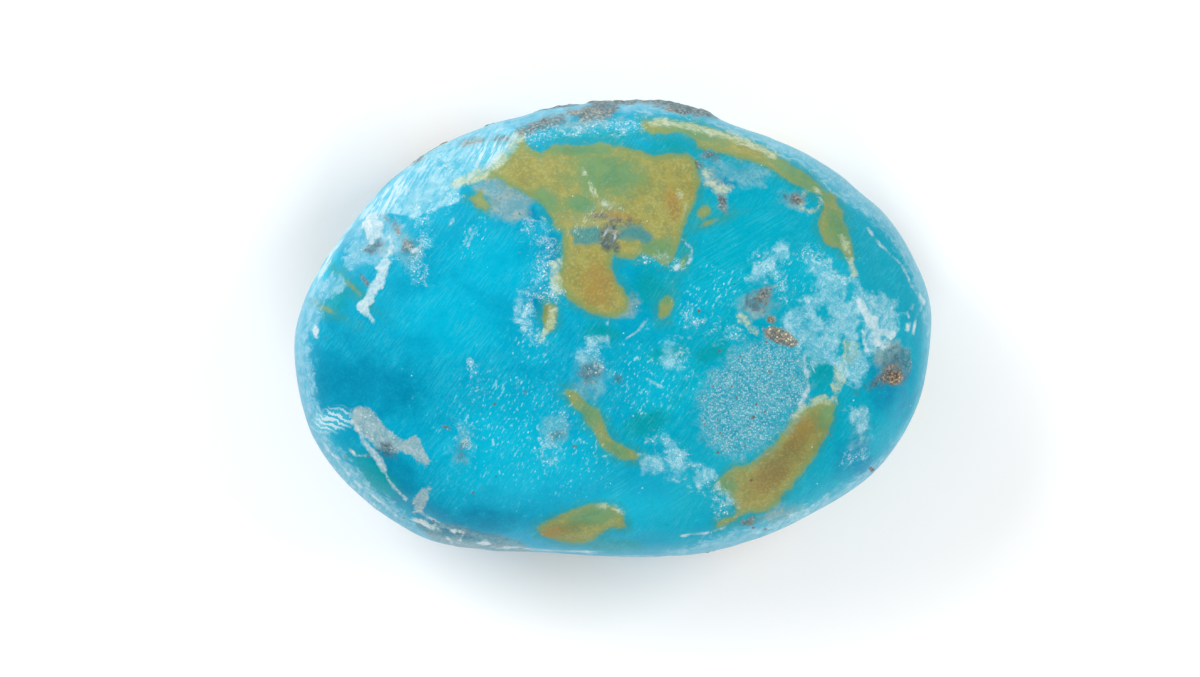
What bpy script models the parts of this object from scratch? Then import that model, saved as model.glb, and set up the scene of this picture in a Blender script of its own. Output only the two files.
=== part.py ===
"""A raw turquoise nugget, lying on its ground back: one stone, one solid.

The stone starts as a cushion-shaped pebble. Its shoulders are then ground in flats, its face
gets shallow hollows, chips and ledges, and patches of rough host rock stand proud of its rim.
All shape values are in millimetres, and the finished mesh is scaled to metres. +Z is up.
"""

import math

import bmesh
import bpy
import numpy as np
from mathutils import Matrix, Vector, noise

METRES_PER_MM = 0.001

# Driving dimensions
GIRDLE_HEIGHT = 5.2
CROWN_HEIGHT = 7.4
BACK_DEPTH = 6.0
CROWN_FULLNESS = 2.9
BACK_FULLNESS = 2.7
GIRDLE_SWAY = 0.45

# The widest outline, seen from above, anticlockwise from the right-hand end. The stone is
# round on the left, and flatter with blunt corners on the right.
GIRDLE_POINTS = [
    (15.90, -0.10), (15.80, 1.55), (15.22, 3.10), (14.50, 4.50), (13.40, 5.95), (12.25, 6.85),
    (11.55, 7.55), (9.30, 8.92), (6.00, 10.15), (4.50, 10.80), (2.60, 11.20), (-1.00, 11.25),
    (-4.55, 10.62), (-7.90, 9.50), (-10.70, 7.78), (-13.05, 5.30), (-14.88, 2.66),
    (-15.90, -0.10), (-15.75, -2.90), (-14.88, -5.68), (-12.90, -8.15), (-10.45, -9.90),
    (-7.80, -10.80), (-4.80, -11.00), (-1.00, -11.35), (3.30, -11.35), (6.30, -10.75),
    (9.90, -9.25), (13.25, -6.98), (15.28, -3.74),
]

# Ground flats: (x, y, direction in the plan, tilt from level). Each flat begins at that place on
# the pebble and falls away in that direction, in degrees. They ring the face, then the back.
CROWN_FLATS = [
    (-8.1, 7.9, 130, 47), (-13.5, 3.6, 152, 54), (-2.0, 9.4, 97, 54), (5.6, 9.8, 74, 62),
    (9.9, 7.6, 52, 58), (12.0, 4.6, 22, 46), (15.3, 0.2, 0, 66), (14.6, -4.8, -28, 64),
    (11.4, -7.9, -54, 63), (6.0, -10.1, -72, 63), (0.0, -10.9, -92, 66), (-8.1, -9.8, -118, 62),
    (-12.8, -6.9, -135, 61), (-14.9, -1.0, 178, 60),
]
BACK_FLATS = [
    (-12.0, -3.3, -165, 38), (-4.2, -9.6, -120, 44), (3.2, -8.8, -70, 40), (11.6, -4.2, -20, 36),
    (10.9, 5.8, 28, 42), (2.3, 8.7, 75, 40), (-5.0, 8.6, 120, 45), (-11.9, 3.2, 165, 40),
]
FLAT_EDGE_ROUNDING = 0.07

# Broad hollows (negative) and swells of the face: (x, y, radius, height).
FACE_WAVES = [
    (-6.0, -2.5, 4.6, -0.30), (0.4, -3.6, 2.4, -0.24), (-0.8, 5.6, 3.6, 0.22),
    (7.0, -3.2, 3.4, 0.28), (3.4, 2.2, 2.8, -0.20), (10.4, 0.6, 2.4, 0.22),
    (4.6, -8.6, 2.6, -0.16), (-11.2, 4.6, 1.7, 0.26), (-12.4, -1.2, 2.4, -0.18),
]

# Chips knocked out of the surface: (x, y, side of the girdle, radius, depth).
CHIPS = [
    (12.9, 7.5, 1, 0.8, 0.34), (-9.4, -4.9, 1, 1.4, 0.22), (-12.4, 4.4, 1, 1.2, 0.20),
    (14.4, -1.6, 1, 1.3, 0.18), (-9.0, 6.5, -1, 1.9, 0.50), (10.5, -4.5, -1, 2.2, 0.60),
    (-12.0, -4.0, -1, 1.8, 0.45), (2.5, 9.0, -1, 1.7, 0.45),
]
CHIP_RAGGEDNESS = 0.45
CHIP_RAGS_PER_MM = 0.8

# Rough host rock left on the rim and the back: (x, y, z, radius, height).
HOST_ROCK = [
    (3.9, 10.6, 6.4, 1.6, 0.30), (1.6, 10.9, 6.4, 1.5, 0.24), (-3.6, 10.0, 7.4, 1.7, 0.26),
    (-0.6, 10.6, 7.2, 1.6, 0.22), (-8.2, -9.9, 5.6, 1.9, 0.28), (-5.2, -10.6, 5.2, 1.7, 0.26),
    (-7.0, 7.4, 1.8, 3.0, 0.40), (6.5, -7.6, 1.6, 3.2, 0.45), (12.4, 2.2, 2.0, 2.6, 0.36),
    (7.0, 8.6, 2.6, 2.4, 0.36), (-12.0, -1.0, 1.8, 2.4, 0.34),
]

CUBE_CELLS = 28
SPLINE_STEPS = 24
SWELL_HEIGHT = 0.24
SWELL_PER_MM = 0.16
GRIT_HEIGHT = 0.045
GRIT_PER_MM = 0.75
CRUST_PER_MM = 0.95
BASE_SNAP = 0.12
SECOND_NOISE = Vector((31.7, 8.4, 19.2))


def clear_scene():
    """Removes whatever the file holds, so that only the stone is left."""
    for obj in list(bpy.data.objects):
        bpy.data.objects.remove(obj, do_unlink=True)


def smooth_loop(points, steps):
    """A closed Catmull-Rom curve through the points, as an array of points."""
    knots = np.array(points)
    before, after, beyond = (np.roll(knots, shift, axis=0) for shift in (1, -1, -2))
    t = (np.arange(steps) / steps)[:, None, None]
    curve = 0.5 * (
        2 * knots
        + (after - before) * t
        + (2 * before - 5 * knots + 4 * after - beyond) * t**2
        + (3 * knots - before - 3 * after + beyond) * t**3
    )
    return curve.transpose(1, 0, 2).reshape(-1, 2)


def girdle_radius_by_angle():
    """A function that gives the outline's distance from the centre in any direction."""
    outline = smooth_loop(GIRDLE_POINTS, SPLINE_STEPS)
    angles = np.arctan2(outline[:, 1], outline[:, 0])
    radii = np.hypot(outline[:, 0], outline[:, 1])
    order = np.argsort(angles)

    def radius(angle):
        return float(np.interp(angle, angles[order], radii[order], period=math.tau))

    return radius


girdle_radius = girdle_radius_by_angle()


def girdle_height(angle):
    """The rim wanders a little up and down on its way round."""
    return GIRDLE_HEIGHT + GIRDLE_SWAY * math.sin(2 * angle + 0.6)


def cushion_point(angle, reach, lift):
    """A point of the pebble: reach runs from 0 at its middle to 1 at its rim, lift is its sine."""
    side = 1 if lift >= 0 else -1
    fullness = CROWN_FULLNESS if side > 0 else BACK_FULLNESS
    rise = CROWN_HEIGHT if side > 0 else BACK_DEPTH
    spread = girdle_radius(angle) * reach ** (2 / fullness)
    height = girdle_height(angle) * reach + GIRDLE_HEIGHT * (1 - reach)
    height += side * rise * abs(lift) ** (2 / fullness)
    return Vector((spread * math.cos(angle), spread * math.sin(angle), height))


def cushion(bm):
    """Turns a cube's grid into a sphere, and the sphere into the cushion-shaped pebble."""
    bmesh.ops.create_cube(bm, size=2)
    bmesh.ops.subdivide_edges(bm, edges=bm.edges[:], cuts=CUBE_CELLS - 1, use_grid_fill=True)
    for vert in bm.verts:
        even = Vector(math.tan(c * math.pi / 4) for c in vert.co)
        ball = even.normalized()
        angle = math.atan2(ball.y, ball.x)
        vert.co = cushion_point(angle, math.hypot(ball.x, ball.y), ball.z)


def swell(bm):
    """Gives the pebble the slow lumps of a natural stone."""
    for vert in bm.verts:
        lump = noise.fractal(vert.co * SWELL_PER_MM, 1.0, 2.0, 3)
        level = 1 - min(1, abs(vert.co.z - GIRDLE_HEIGHT) / CROWN_HEIGHT)
        vert.co.z += SWELL_HEIGHT * lump * (1 - level)


def falloff(distance, radius):
    """1 at no distance, and smoothly down to nothing at about twice the radius."""
    return math.exp(-((distance / radius) ** 2))


def wave_face(bm):
    """Presses the broad hollows into the face and raises its swells."""
    for vert in bm.verts:
        if vert.co.z < GIRDLE_HEIGHT:
            continue
        for x, y, radius, height in FACE_WAVES:
            vert.co.z += height * falloff(math.hypot(vert.co.x - x, vert.co.y - y), radius)


def ground_plane(x, y, direction_deg, tilt_deg, side):
    """The normal and distance of a flat that begins at (x, y) on the pebble's face or back."""
    around = math.atan2(y, x)
    share = math.hypot(x, y) / girdle_radius(around)
    reach = share ** ((CROWN_FULLNESS if side > 0 else BACK_FULLNESS) / 2)
    start = cushion_point(around, reach, side * math.sqrt(1 - reach**2))
    angle, tilt = math.radians(direction_deg), math.radians(tilt_deg)
    level = math.sin(tilt)
    normal = Vector((level * math.cos(angle), level * math.sin(angle), side * math.cos(tilt)))
    return normal, normal.dot(start)


def grind(bm, flats, side):
    """Grinds each flat: what stands beyond its plane is taken down to it, with a worn edge."""
    for x, y, direction_deg, tilt_deg in flats:
        normal, distance = ground_plane(x, y, direction_deg, tilt_deg, side)
        for vert in bm.verts:
            excess = vert.co.dot(normal) - distance
            if excess < -4 * FLAT_EDGE_ROUNDING:
                continue
            worn = FLAT_EDGE_ROUNDING * math.log1p(math.exp(-excess / FLAT_EDGE_ROUNDING))
            vert.co -= normal * (excess + worn)


def push_out(bm, height_at):
    """Moves every vertex along its normal by the height that height_at gives for its place."""
    bm.normal_update()
    moves = [(vert, vert.normal * height_at(vert.co)) for vert in bm.verts]
    for vert, move in moves:
        vert.co += move


def chip_height(place):
    """How deep the chips go at a place. A chip has a flat floor, a ragged edge and a clear lip."""
    spot = place * CHIP_RAGS_PER_MM
    across = place.x + CHIP_RAGGEDNESS * noise.noise(spot)
    along = place.y + CHIP_RAGGEDNESS * noise.noise(spot + SECOND_NOISE)
    depth = 0
    for x, y, side, radius, most in CHIPS:
        if (place.z - GIRDLE_HEIGHT) * side < -1:
            continue
        near = math.hypot(across - x, along - y) / radius
        depth = max(depth, most * (1 - min(1, near**3)))
    return -depth


def crust_height(place):
    """How high the host rock stands at a place: rough lumps that thin out at their edge."""
    rough = 0.5 + noise.fractal(place * CRUST_PER_MM, 0.9, 2.0, 3)
    height = 0
    for x, y, z, radius, most in HOST_ROCK:
        height = max(height, most * falloff((place - Vector((x, y, z))).length, radius))
    return height * max(0, rough)


def grit_height(place):
    """The small unevenness of a surface that was ground by hand."""
    return GRIT_HEIGHT * noise.fractal(place * GRIT_PER_MM, 1.0, 2.0, 2)


def cut_base(bm):
    """Cuts the back off level, which is what the stone rests on, and closes the cut."""
    for vert in bm.verts:
        if abs(vert.co.z) < BASE_SNAP:
            vert.co.z = 0
    geometry = bm.verts[:] + bm.edges[:] + bm.faces[:]
    bmesh.ops.bisect_plane(
        bm, geom=geometry, dist=0.001, plane_co=(0, 0, 0), plane_no=(0, 0, -1), clear_outer=True
    )
    bmesh.ops.holes_fill(bm, edges=[edge for edge in bm.edges if edge.is_boundary])
    bmesh.ops.triangulate(bm, faces=bm.faces[:], quad_method="SHORT_EDGE")


def centre_on_origin(bm):
    """Sets the middle of the stone's plan over the origin, with its base at height 0."""
    corners = np.array([vert.co for vert in bm.verts])
    low, high = corners.min(axis=0), corners.max(axis=0)
    middle = (low + high) / 2
    bmesh.ops.translate(bm, verts=bm.verts[:], vec=(-middle[0], -middle[1], -low[2]))


def turquoise():
    """Blue-green turquoise with a waxy, worn polish."""
    material = bpy.data.materials.new("turquoise")
    material.use_nodes = True
    shader = material.node_tree.nodes["Principled BSDF"]
    shader.inputs["Base Color"].default_value = (0.0, 0.40, 0.62, 1)
    shader.inputs["Roughness"].default_value = 0.4
    shader.inputs["Metallic"].default_value = 0
    return material


def make_nugget():
    """Builds the stone and adds it to the scene."""
    bm = bmesh.new()
    cushion(bm)
    swell(bm)
    wave_face(bm)
    grind(bm, CROWN_FLATS, 1)
    grind(bm, BACK_FLATS, -1)
    push_out(bm, chip_height)
    push_out(bm, crust_height)
    push_out(bm, grit_height)
    cut_base(bm)
    centre_on_origin(bm)
    bmesh.ops.transform(bm, matrix=Matrix.Scale(METRES_PER_MM, 4), verts=bm.verts[:])
    mesh = bpy.data.meshes.new("nugget")
    bm.to_mesh(mesh)
    bm.free()
    mesh.shade_smooth()
    mesh.set_sharp_from_angle(angle=math.radians(40))
    mesh.materials.append(turquoise())
    nugget = bpy.data.objects.new("nugget", mesh)
    bpy.context.scene.collection.objects.link(nugget)
    return nugget


clear_scene()
make_nugget()
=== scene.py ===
# %% [markdown]
# # A raw turquoise nugget
#
# This lesson dresses a plain CAD solid as a piece of raw turquoise that was ground by hand. The
# stone is one lump about 32 mm long: waxy blue turquoise with patches of ochre and green host
# rock, a few grey quartz inclusions, rough brown rock on its rim, and scratches and scuffs from
# grinding. It lies on its flat back and the camera looks straight down on it.
#
# We load the solid first. It is the measure for everything here, so it is never changed.

# %% Load the solid
import math

import bmesh
import bpy
import numpy as np
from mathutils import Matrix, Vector, noise


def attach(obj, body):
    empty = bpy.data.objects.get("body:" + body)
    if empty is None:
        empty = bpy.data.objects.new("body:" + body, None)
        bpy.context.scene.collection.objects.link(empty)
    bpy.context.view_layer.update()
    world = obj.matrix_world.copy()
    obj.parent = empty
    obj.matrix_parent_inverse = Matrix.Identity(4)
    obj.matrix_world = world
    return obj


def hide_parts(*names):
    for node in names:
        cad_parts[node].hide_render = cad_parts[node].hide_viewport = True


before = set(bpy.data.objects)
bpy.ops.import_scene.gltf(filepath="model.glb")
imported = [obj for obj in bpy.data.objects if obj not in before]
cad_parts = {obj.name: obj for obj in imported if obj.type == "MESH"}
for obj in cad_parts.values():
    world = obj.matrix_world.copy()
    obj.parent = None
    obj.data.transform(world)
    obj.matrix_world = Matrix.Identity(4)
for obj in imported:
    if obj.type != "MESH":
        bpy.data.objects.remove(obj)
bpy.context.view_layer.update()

MM = 0.001
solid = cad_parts["nugget"]

# %% [markdown]
# ## Camera
#
# The stone nearly fills the picture from above. A very long lens, far away, shows the stone
# without perspective, so a place on the face keeps its place in the picture. 60 mm of table
# fit across the picture.

# %% Camera
LENS_MM = 600
SENSOR_MM = 36
SEEN_WIDTH = 60 * MM
RIM_HEIGHT = 5.2 * MM
NEAREST_SEEN = 10 * MM
VIEW_CENTRE = (-0.65 * MM, -0.48 * MM)

camera = bpy.data.objects.new("camera", bpy.data.cameras.new("camera"))
camera.data.lens = LENS_MM
camera.data.sensor_width = SENSOR_MM
camera.data.clip_start = NEAREST_SEEN
camera.location = (*VIEW_CENTRE, RIM_HEIGHT + SEEN_WIDTH / SENSOR_MM * LENS_MM)
bpy.context.scene.collection.objects.link(camera)
bpy.context.scene.camera = camera
print("camera", round(camera.location.z, 3), "m up")

# %% [markdown]
# ## Table and light
#
# A small stone like this is photographed on white card with large soft lamps round it. Nothing
# bright hangs straight above, because level polished faces would mirror it and turn milky. The
# lamp at the upper left stands low, so that the steep ground flat on that side mirrors it.

# %% Table and light
# The table's width in metres
TABLE_SIZE = 2.0
TABLE_WHITE = (0.93, 0.93, 0.93, 1.0)
TABLE_ROUGHNESS = 0.9
WHITE = (1.0, 1.0, 1.0, 1.0)
SKY_STRENGTH = 0.42
# Each lamp: name, place and width in metres, power in watts
LAMPS = [
    ("low_left", (-0.28, 0.30, 0.10), 0.26, 1.0),
    ("high_left", (-0.32, 0.20, 0.30), 0.24, 1.15),
    ("high_right", (0.36, 0.10, 0.28), 0.24, 1.15),
    ("front", (0.04, -0.40, 0.28), 0.28, 1.15),
]

table_mesh = bpy.data.meshes.new("table")
bm = bmesh.new()
bmesh.ops.create_grid(bm, x_segments=1, y_segments=1, size=TABLE_SIZE / 2)
bm.to_mesh(table_mesh)
bm.free()
table = bpy.data.objects.new("table", table_mesh)
bpy.context.scene.collection.objects.link(table)
card = bpy.data.materials.new("white_card")
card.use_nodes = True
card_shader = card.node_tree.nodes["Principled BSDF"]
card_shader.inputs["Base Color"].default_value = TABLE_WHITE
card_shader.inputs["Roughness"].default_value = TABLE_ROUGHNESS
table_mesh.materials.append(card)

for name, place, width, power in LAMPS:
    lamp = bpy.data.lights.new(name, "AREA")
    lamp.size = width
    lamp.energy = power
    holder = bpy.data.objects.new(name, lamp)
    holder.location = place
    holder.rotation_euler = (-Vector(place)).to_track_quat("-Z", "Y").to_euler()
    holder.visible_camera = False
    bpy.context.scene.collection.objects.link(holder)

sky = bpy.data.worlds.new("sky")
sky.use_nodes = True
sky.node_tree.nodes["Background"].inputs["Color"].default_value = WHITE
sky.node_tree.nodes["Background"].inputs["Strength"].default_value = SKY_STRENGTH
bpy.context.scene.world = sky
bpy.context.scene.view_settings.view_transform = "Standard"
print("lamps", [row[0] for row in LAMPS])

# %% [markdown]
# ## The skin
#
# The CAD solid has about 9,000 triangles, which is too coarse for chips, pits and rough rock.
# The finished stone is a skin that starts as a copy of the solid. Its triangles are welded and
# paired, smoothed once, and then rebuilt as an even net of squares about 0.16 mm wide.

# %% Copy the solid and rebuild it as a fine skin
WELD = 0.002 * MM
PAIRING_ANGLE = 0.7
NET_WIDTH = 0.16 * MM
SMOOTHING_ROUNDS = 6

bm = bmesh.new()
bm.from_mesh(solid.data)
bmesh.ops.remove_doubles(bm, verts=bm.verts[:], dist=WELD)
bmesh.ops.join_triangles(
    bm, faces=bm.faces[:],
    angle_face_threshold=PAIRING_ANGLE, angle_shape_threshold=PAIRING_ANGLE,
)
skin_mesh = bpy.data.meshes.new("nugget_skin")
bm.to_mesh(skin_mesh)
bm.free()
skin = bpy.data.objects.new("nugget_skin", skin_mesh)
bpy.context.scene.collection.objects.link(skin)

rounded = skin.modifiers.new("round the facets", "SUBSURF")
rounded.levels = rounded.render_levels = 1
net = skin.modifiers.new("even net", "REMESH")
net.mode = "VOXEL"
net.voxel_size = NET_WIDTH
smooth = skin.modifiers.new("smooth the net", "SMOOTH")
smooth.iterations = SMOOTHING_ROUNDS
graph = bpy.context.evaluated_depsgraph_get()
fine_mesh = bpy.data.meshes.new_from_object(skin.evaluated_get(graph))
skin.modifiers.clear()
skin.data = fine_mesh
fine_mesh.name = "nugget_skin"
bpy.data.meshes.remove(skin_mesh)
print("skin", len(fine_mesh.vertices), "points", len(fine_mesh.polygons), "faces")

# %% [markdown]
# ## Drawing on the stone
#
# Every marking is drawn by its outline on the face, in millimetres from the stone's middle: x
# to the right, y up the picture. For each point of the skin we work out how deep it lies inside
# the outline. The number is positive inside, zero on the outline and negative outside. A
# material can then cut the marking out at zero, and roughen its edge with noise at a far finer
# scale than the net.
#
# Below the face the drawing must not end in a straight border. Two noises, a slow wobble and a
# quicker ripple, let it run down the stone's side by different amounts and push it sideways as
# it goes, and it thins out with depth.

# %% Points and noise
WOBBLES_PER_MM = 0.34
RIPPLES_PER_MM = 0.9
# The height where the face ends, and how far its markings run down from there. The share of
# that way has a usual value, changes with both noises and has an upper limit
FACE_LEVEL = 5.3
FACE_RUNS_DOWN = 3.2
USUAL_DROP = 0.3
WOBBLE_DROP = 1.5
RIPPLE_DROP = 0.8
MOST_DROP = 1.2
# What a marking loses per millimetre: below its own end, and everywhere below the face
FADE_BELOW = 1.4
THINS_OUT = 0.5
# How strongly the drawing is pushed sideways, and down to what depth the push grows
WANDER = 1.1
WANDERS_UNTIL = 2.0

points = np.empty(len(fine_mesh.vertices) * 3, np.float32)
fine_mesh.vertices.foreach_get("co", points)
points = points.reshape(-1, 3).astype(float) / MM


def lumps(per_mm, octaves):
    """Fractal noise at every point, about -1 to 1."""
    return np.array([noise.fractal(Vector(p) * per_mm, 1.0, 2.0, octaves) for p in points])


wobble = lumps(WOBBLES_PER_MM, 3)
ripple = lumps(RIPPLES_PER_MM, 4)
drop = USUAL_DROP + WOBBLE_DROP * wobble + RIPPLE_DROP * ripple
lowest = FACE_LEVEL - FACE_RUNS_DOWN * np.clip(drop, 0, MOST_DROP)
sunk = np.maximum(0, FACE_LEVEL - points[:, 2])
below_face = np.maximum(0, lowest - points[:, 2]) * FADE_BELOW + THINS_OUT * sunk
# Where each point stands in the drawing. On the face that is its own x and y
pushed = np.minimum(sunk, WANDERS_UNTIL) * (wobble + ripple)
drawn = points[:, :2] + WANDER * pushed[:, None]
print("share of the points on the face", round(float((sunk == 0).mean()), 3))

# %% Drawing tools
FARTHEST = 2.5
BALL_WOBBLE = 1.5


def on_face(depth):
    """Ends a marking of the face where the stone's side begins."""
    return depth - below_face


def segment(start, end):
    """How far each point is from a straight line on the face, and how far along it."""
    run = np.subtract(end, start)
    away = drawn - start
    share = np.clip(away @ run / (run @ run), 0, 1)
    return np.linalg.norm(away - share[:, None] * run, axis=1), share


def patch(outline):
    """How deep each point lies inside a closed outline."""
    x, y = drawn.T
    nearest = np.full(len(points), FARTHEST)
    inside = np.zeros(len(points), bool)
    for start, end in zip(outline, outline[1:] + outline[:1]):
        nearest = np.minimum(nearest, segment(start, end)[0])
        crosses = (start[1] > y) != (end[1] > y)
        slope = (end[0] - start[0]) / ((end[1] - start[1]) or 1)
        inside ^= crosses & (x < start[0] + (y - start[1]) * slope)
    return on_face(np.where(inside, nearest, -nearest))


def tapered(route):
    """A line whose width changes along a route of x, y and width."""
    deepest = np.full(len(points), -FARTHEST)
    for (*start, width), (*end, next_width) in zip(route, route[1:]):
        away, share = segment(start, end)
        deepest = np.maximum(deepest, (width + share * (next_width - width)) / 2 - away)
    return on_face(deepest)


def stroke(width, route):
    """A line of one width along a route."""
    return tapered([(x, y, width) for x, y in route])


def spot(x, y, half_length, half_width, turn_deg):
    """An oval, turned anticlockwise."""
    turn = math.radians(turn_deg)
    right, up = (drawn - (x, y)).T
    along = right * math.cos(turn) + up * math.sin(turn)
    across = up * math.cos(turn) - right * math.sin(turn)
    reach = np.hypot(along / half_length, across / half_width)
    return on_face((1 - reach) * min(half_length, half_width))


def glow(x, y, half_length, half_width, turn_deg):
    """A soft oval: 1 in its middle, fading to nothing at about twice its size."""
    depth = spot(x, y, half_length, half_width, turn_deg)
    reach = 1 - depth / min(half_length, half_width)
    return np.exp(-(reach**2))


def ball(x, y, z, radius):
    """A wobbly ball inside the stone, for markings of the sides and the back."""
    return radius - np.linalg.norm(points - (x, y, z), axis=1) + BALL_WOBBLE * wobble


def together(*markings):
    """Several markings as one: at each point the deepest counts."""
    return np.maximum.reduce(markings)


def patches(*outlines):
    """Several closed outlines as one marking."""
    return together(*[patch(outline) for outline in outlines])


def all_of(tool, rows):
    """Several markings drawn with one tool, each from its own row of values."""
    return together(*[tool(*row) for row in rows])


def keep(name, values):
    """Stores one number per point on the skin, for the material to read."""
    layer = fine_mesh.attributes.new(name, "FLOAT", "POINT")
    layer.data.foreach_set("value", np.clip(values, -FARTHEST, FARTHEST).astype(np.float32))
    print(name, round(float((values > 0).mean()), 3))

# %% [markdown]
# ## Ochre and green host rock
#
# The largest marking is the rock that the turquoise grew in. It lies flush with the polish, so
# it is colour and not relief. The main patch is wide at the top and runs down to a rounded
# lobe. A crescent follows the upper right ridge, a lens lies at the lower right, a smaller one
# at the bottom, and a thin vein wanders through the middle. Wobbly balls let the rock run
# through the stone to its sides and back, and soft ovals mark where it is green or rusty.

# %% Host rock outlines
MAIN_PATCH = [
    (-7.5, 7.3), (-6.2, 7.8), (-5.4, 8.4), (-4.8, 9.1), (-4.6, 9.6), (-4.2, 9.0), (-3.6, 8.7),
    (-3.0, 9.1), (-2.2, 9.2), (-1.5, 9.1), (-0.7, 9.2), (0.3, 9.1), (1.4, 8.8), (2.1, 8.6),
    (2.9, 8.7), (3.7, 8.7), (4.1, 8.4), (4.3, 7.2), (4.2, 6.5), (3.8, 5.7), (3.5, 5.0), (3.3, 4.2),
    (3.0, 3.4), (2.6, 3.1), (2.1, 3.5), (1.6, 3.7), (1.0, 3.5), (0.4, 3.5), (0.0, 3.7),
    (-0.1, 3.0), (0.1, 2.5), (0.5, 2.0), (0.8, 1.5), (0.7, 0.9), (0.0, 0.6), (-0.6, 0.6),
    (-1.4, 0.9), (-2.2, 1.5), (-2.9, 2.4), (-2.6, 3.0), (-2.5, 3.7), (-2.5, 4.8), (-2.8, 5.0),
    (-3.1, 5.5), (-3.4, 6.0), (-4.0, 6.5), (-4.6, 6.8), (-5.2, 7.1), (-5.8, 7.5), (-6.5, 7.5),
]
DIAMOND = [(-7.2, 6.5), (-6.6, 6.9), (-6.1, 6.2), (-6.2, 5.8), (-6.7, 6.0)]
CRESCENT = [
    (1.4, 10.4), (2.4, 10.4), (3.5, 10.3), (4.2, 10.2), (5.5, 9.8), (6.7, 9.4), (7.8, 8.9),
    (8.8, 8.2), (9.8, 7.6), (10.4, 7.0), (11.0, 6.6), (11.4, 5.9), (11.6, 5.0), (11.9, 4.0),
    (11.9, 3.4), (11.6, 3.5), (11.2, 4.0), (10.6, 4.2), (10.3, 4.8), (10.2, 5.2), (10.5, 6.3),
    (10.2, 6.8), (9.9, 6.8), (9.2, 7.1), (8.5, 7.5), (7.7, 8.0), (7.0, 8.3), (6.2, 8.5),
    (5.5, 8.7), (4.8, 8.9), (4.2, 9.0), (4.0, 9.5), (3.4, 9.8), (2.0, 9.7), (1.5, 9.9),
]
LENS = [
    (11.0, -3.7), (10.5, -3.5), (9.8, -3.8), (9.1, -4.2), (8.6, -4.9), (8.2, -5.4), (7.7, -6.0),
    (7.1, -6.5), (6.6, -6.8), (6.0, -6.8), (5.5, -7.3), (5.0, -7.8), (5.7, -8.3), (6.0, -8.8),
    (6.2, -9.3), (6.7, -9.2), (7.7, -9.1), (8.2, -8.6), (8.9, -7.8), (9.6, -6.9), (10.2, -6.0),
    (10.6, -5.3), (10.9, -4.5),
]
LENS_TAIL = [(6.2, -9.2), (6.3, -9.5), (5.7, -9.7), (5.2, -9.9), (5.2, -9.7), (5.7, -9.4)]
BOTTOM_LENS = [
    (-3.8, -9.9), (-3.0, -9.4), (-2.2, -9.1), (-1.4, -8.8), (-0.6, -8.7), (0.0, -8.8), (0.5, -9.3),
    (0.7, -9.9), (0.1, -9.9), (-0.6, -10.2), (-1.1, -10.6), (-2.0, -10.7), (-2.9, -10.5),
    (-3.5, -10.3),
]
VEIN = [
    (-2.3, -3.1), (-1.9, -3.2), (-1.4, -3.7), (-0.8, -4.1), (-0.5, -4.8), (-0.3, -5.3),
    (0.3, -5.8), (1.1, -6.2), (1.0, -6.5), (0.2, -6.2), (-0.5, -5.8), (-0.8, -5.2), (-1.1, -4.6),
    (-1.6, -4.0), (-2.1, -3.6),
]
SIDE_PATCH = [(-3.4, 1.4), (-2.9, 1.2), (-2.8, 0.6), (-3.0, -0.1), (-3.4, -0.2), (-3.5, 0.5)]
VEIN_WIDER = 0.09
# Ovals, here and below: x, y, half length, half width, turn in degrees
HOST_SPOTS = [
    (4.5, 5.8, 0.34, 0.28, 60), (2.6, 1.1, 0.55, 0.32, 70), (4.8, 5.3, 0.4, 0.1, 20),
    (-13.0, 2.1, 0.45, 0.08, -45), (-14.3, 1.0, 0.4, 0.08, -30), (3.5, 3.4, 0.3, 0.1, 70),
    (-2.0, -3.3, 0.40, 0.22, -30), (-1.2, -4.4, 0.50, 0.26, -60), (-0.5, -5.4, 0.42, 0.24, -50),
    (0.6, -6.25, 0.60, 0.24, -10),
]
# Balls, here and below: x, y, z, radius
HOST_BALLS = [
    (-2.0, -11.5, 2.0, 1.9), (8.5, 8.6, 2.4, 2.0), (-14.2, 3.0, 1.4, 1.9), (14.4, -3.0, 1.2, 1.8),
    (3.0, 2.0, -1.6, 3.2), (-6.0, -3.5, -1.0, 2.0), (-8.5, 9.5, 3.0, 1.6), (-9.0, -9.5, 1.0, 1.8),
    (1.0, 10.8, 2.2, 1.6), (11.5, -7.6, 2.6, 1.3),
]
GREEN_PARTS = [
    (-0.2, 7.7, 2.0, 1.3, -8), (-1.6, 8.9, 2.2, 0.4, 0), (4.0, 9.8, 2.0, 0.5, -15),
    (-3.4, 6.3, 0.9, 0.7, -45), (-1.6, 6.2, 0.9, 0.6, 0), (3.4, 3.6, 0.7, 0.7, 0),
    (9.5, 7.6, 2.5, 0.8, -40), (11.2, 5.0, 1.6, 0.7, -70), (10.7, -4.4, 0.9, 0.8, 0),
    (5.5, -8.0, 0.7, 0.8, 0), (-1.0, -9.3, 1.5, 0.6, 10), (-1.3, -4.2, 1.0, 0.9, -45),
    (0.2, -6.0, 1.0, 0.6, -30), (2.7, 1.5, 0.5, 0.4, 0), (2.2, 4.0, 1.2, 0.5, 0),
]
RUSTY_PARTS = [
    (-0.7, 2.2, 0.9, 1.2, 20), (0.0, 5.6, 1.3, 0.35, -5), (3.0, 6.2, 0.5, 0.9, 20),
    (9.2, -5.4, 1.6, 0.45, 52), (7.8, -7.3, 1.4, 0.7, 40), (-3.0, -10.1, 0.7, 0.3, 20),
]

keep("host", together(
    patches(MAIN_PATCH, DIAMOND, CRESCENT, LENS, LENS_TAIL, BOTTOM_LENS, SIDE_PATCH),
    patch(VEIN) + VEIN_WIDER,
    all_of(spot, HOST_SPOTS),
    all_of(ball, HOST_BALLS),
))
keep("green", all_of(glow, GREEN_PARTS))
keep("rust", all_of(glow, RUSTY_PARTS))
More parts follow.
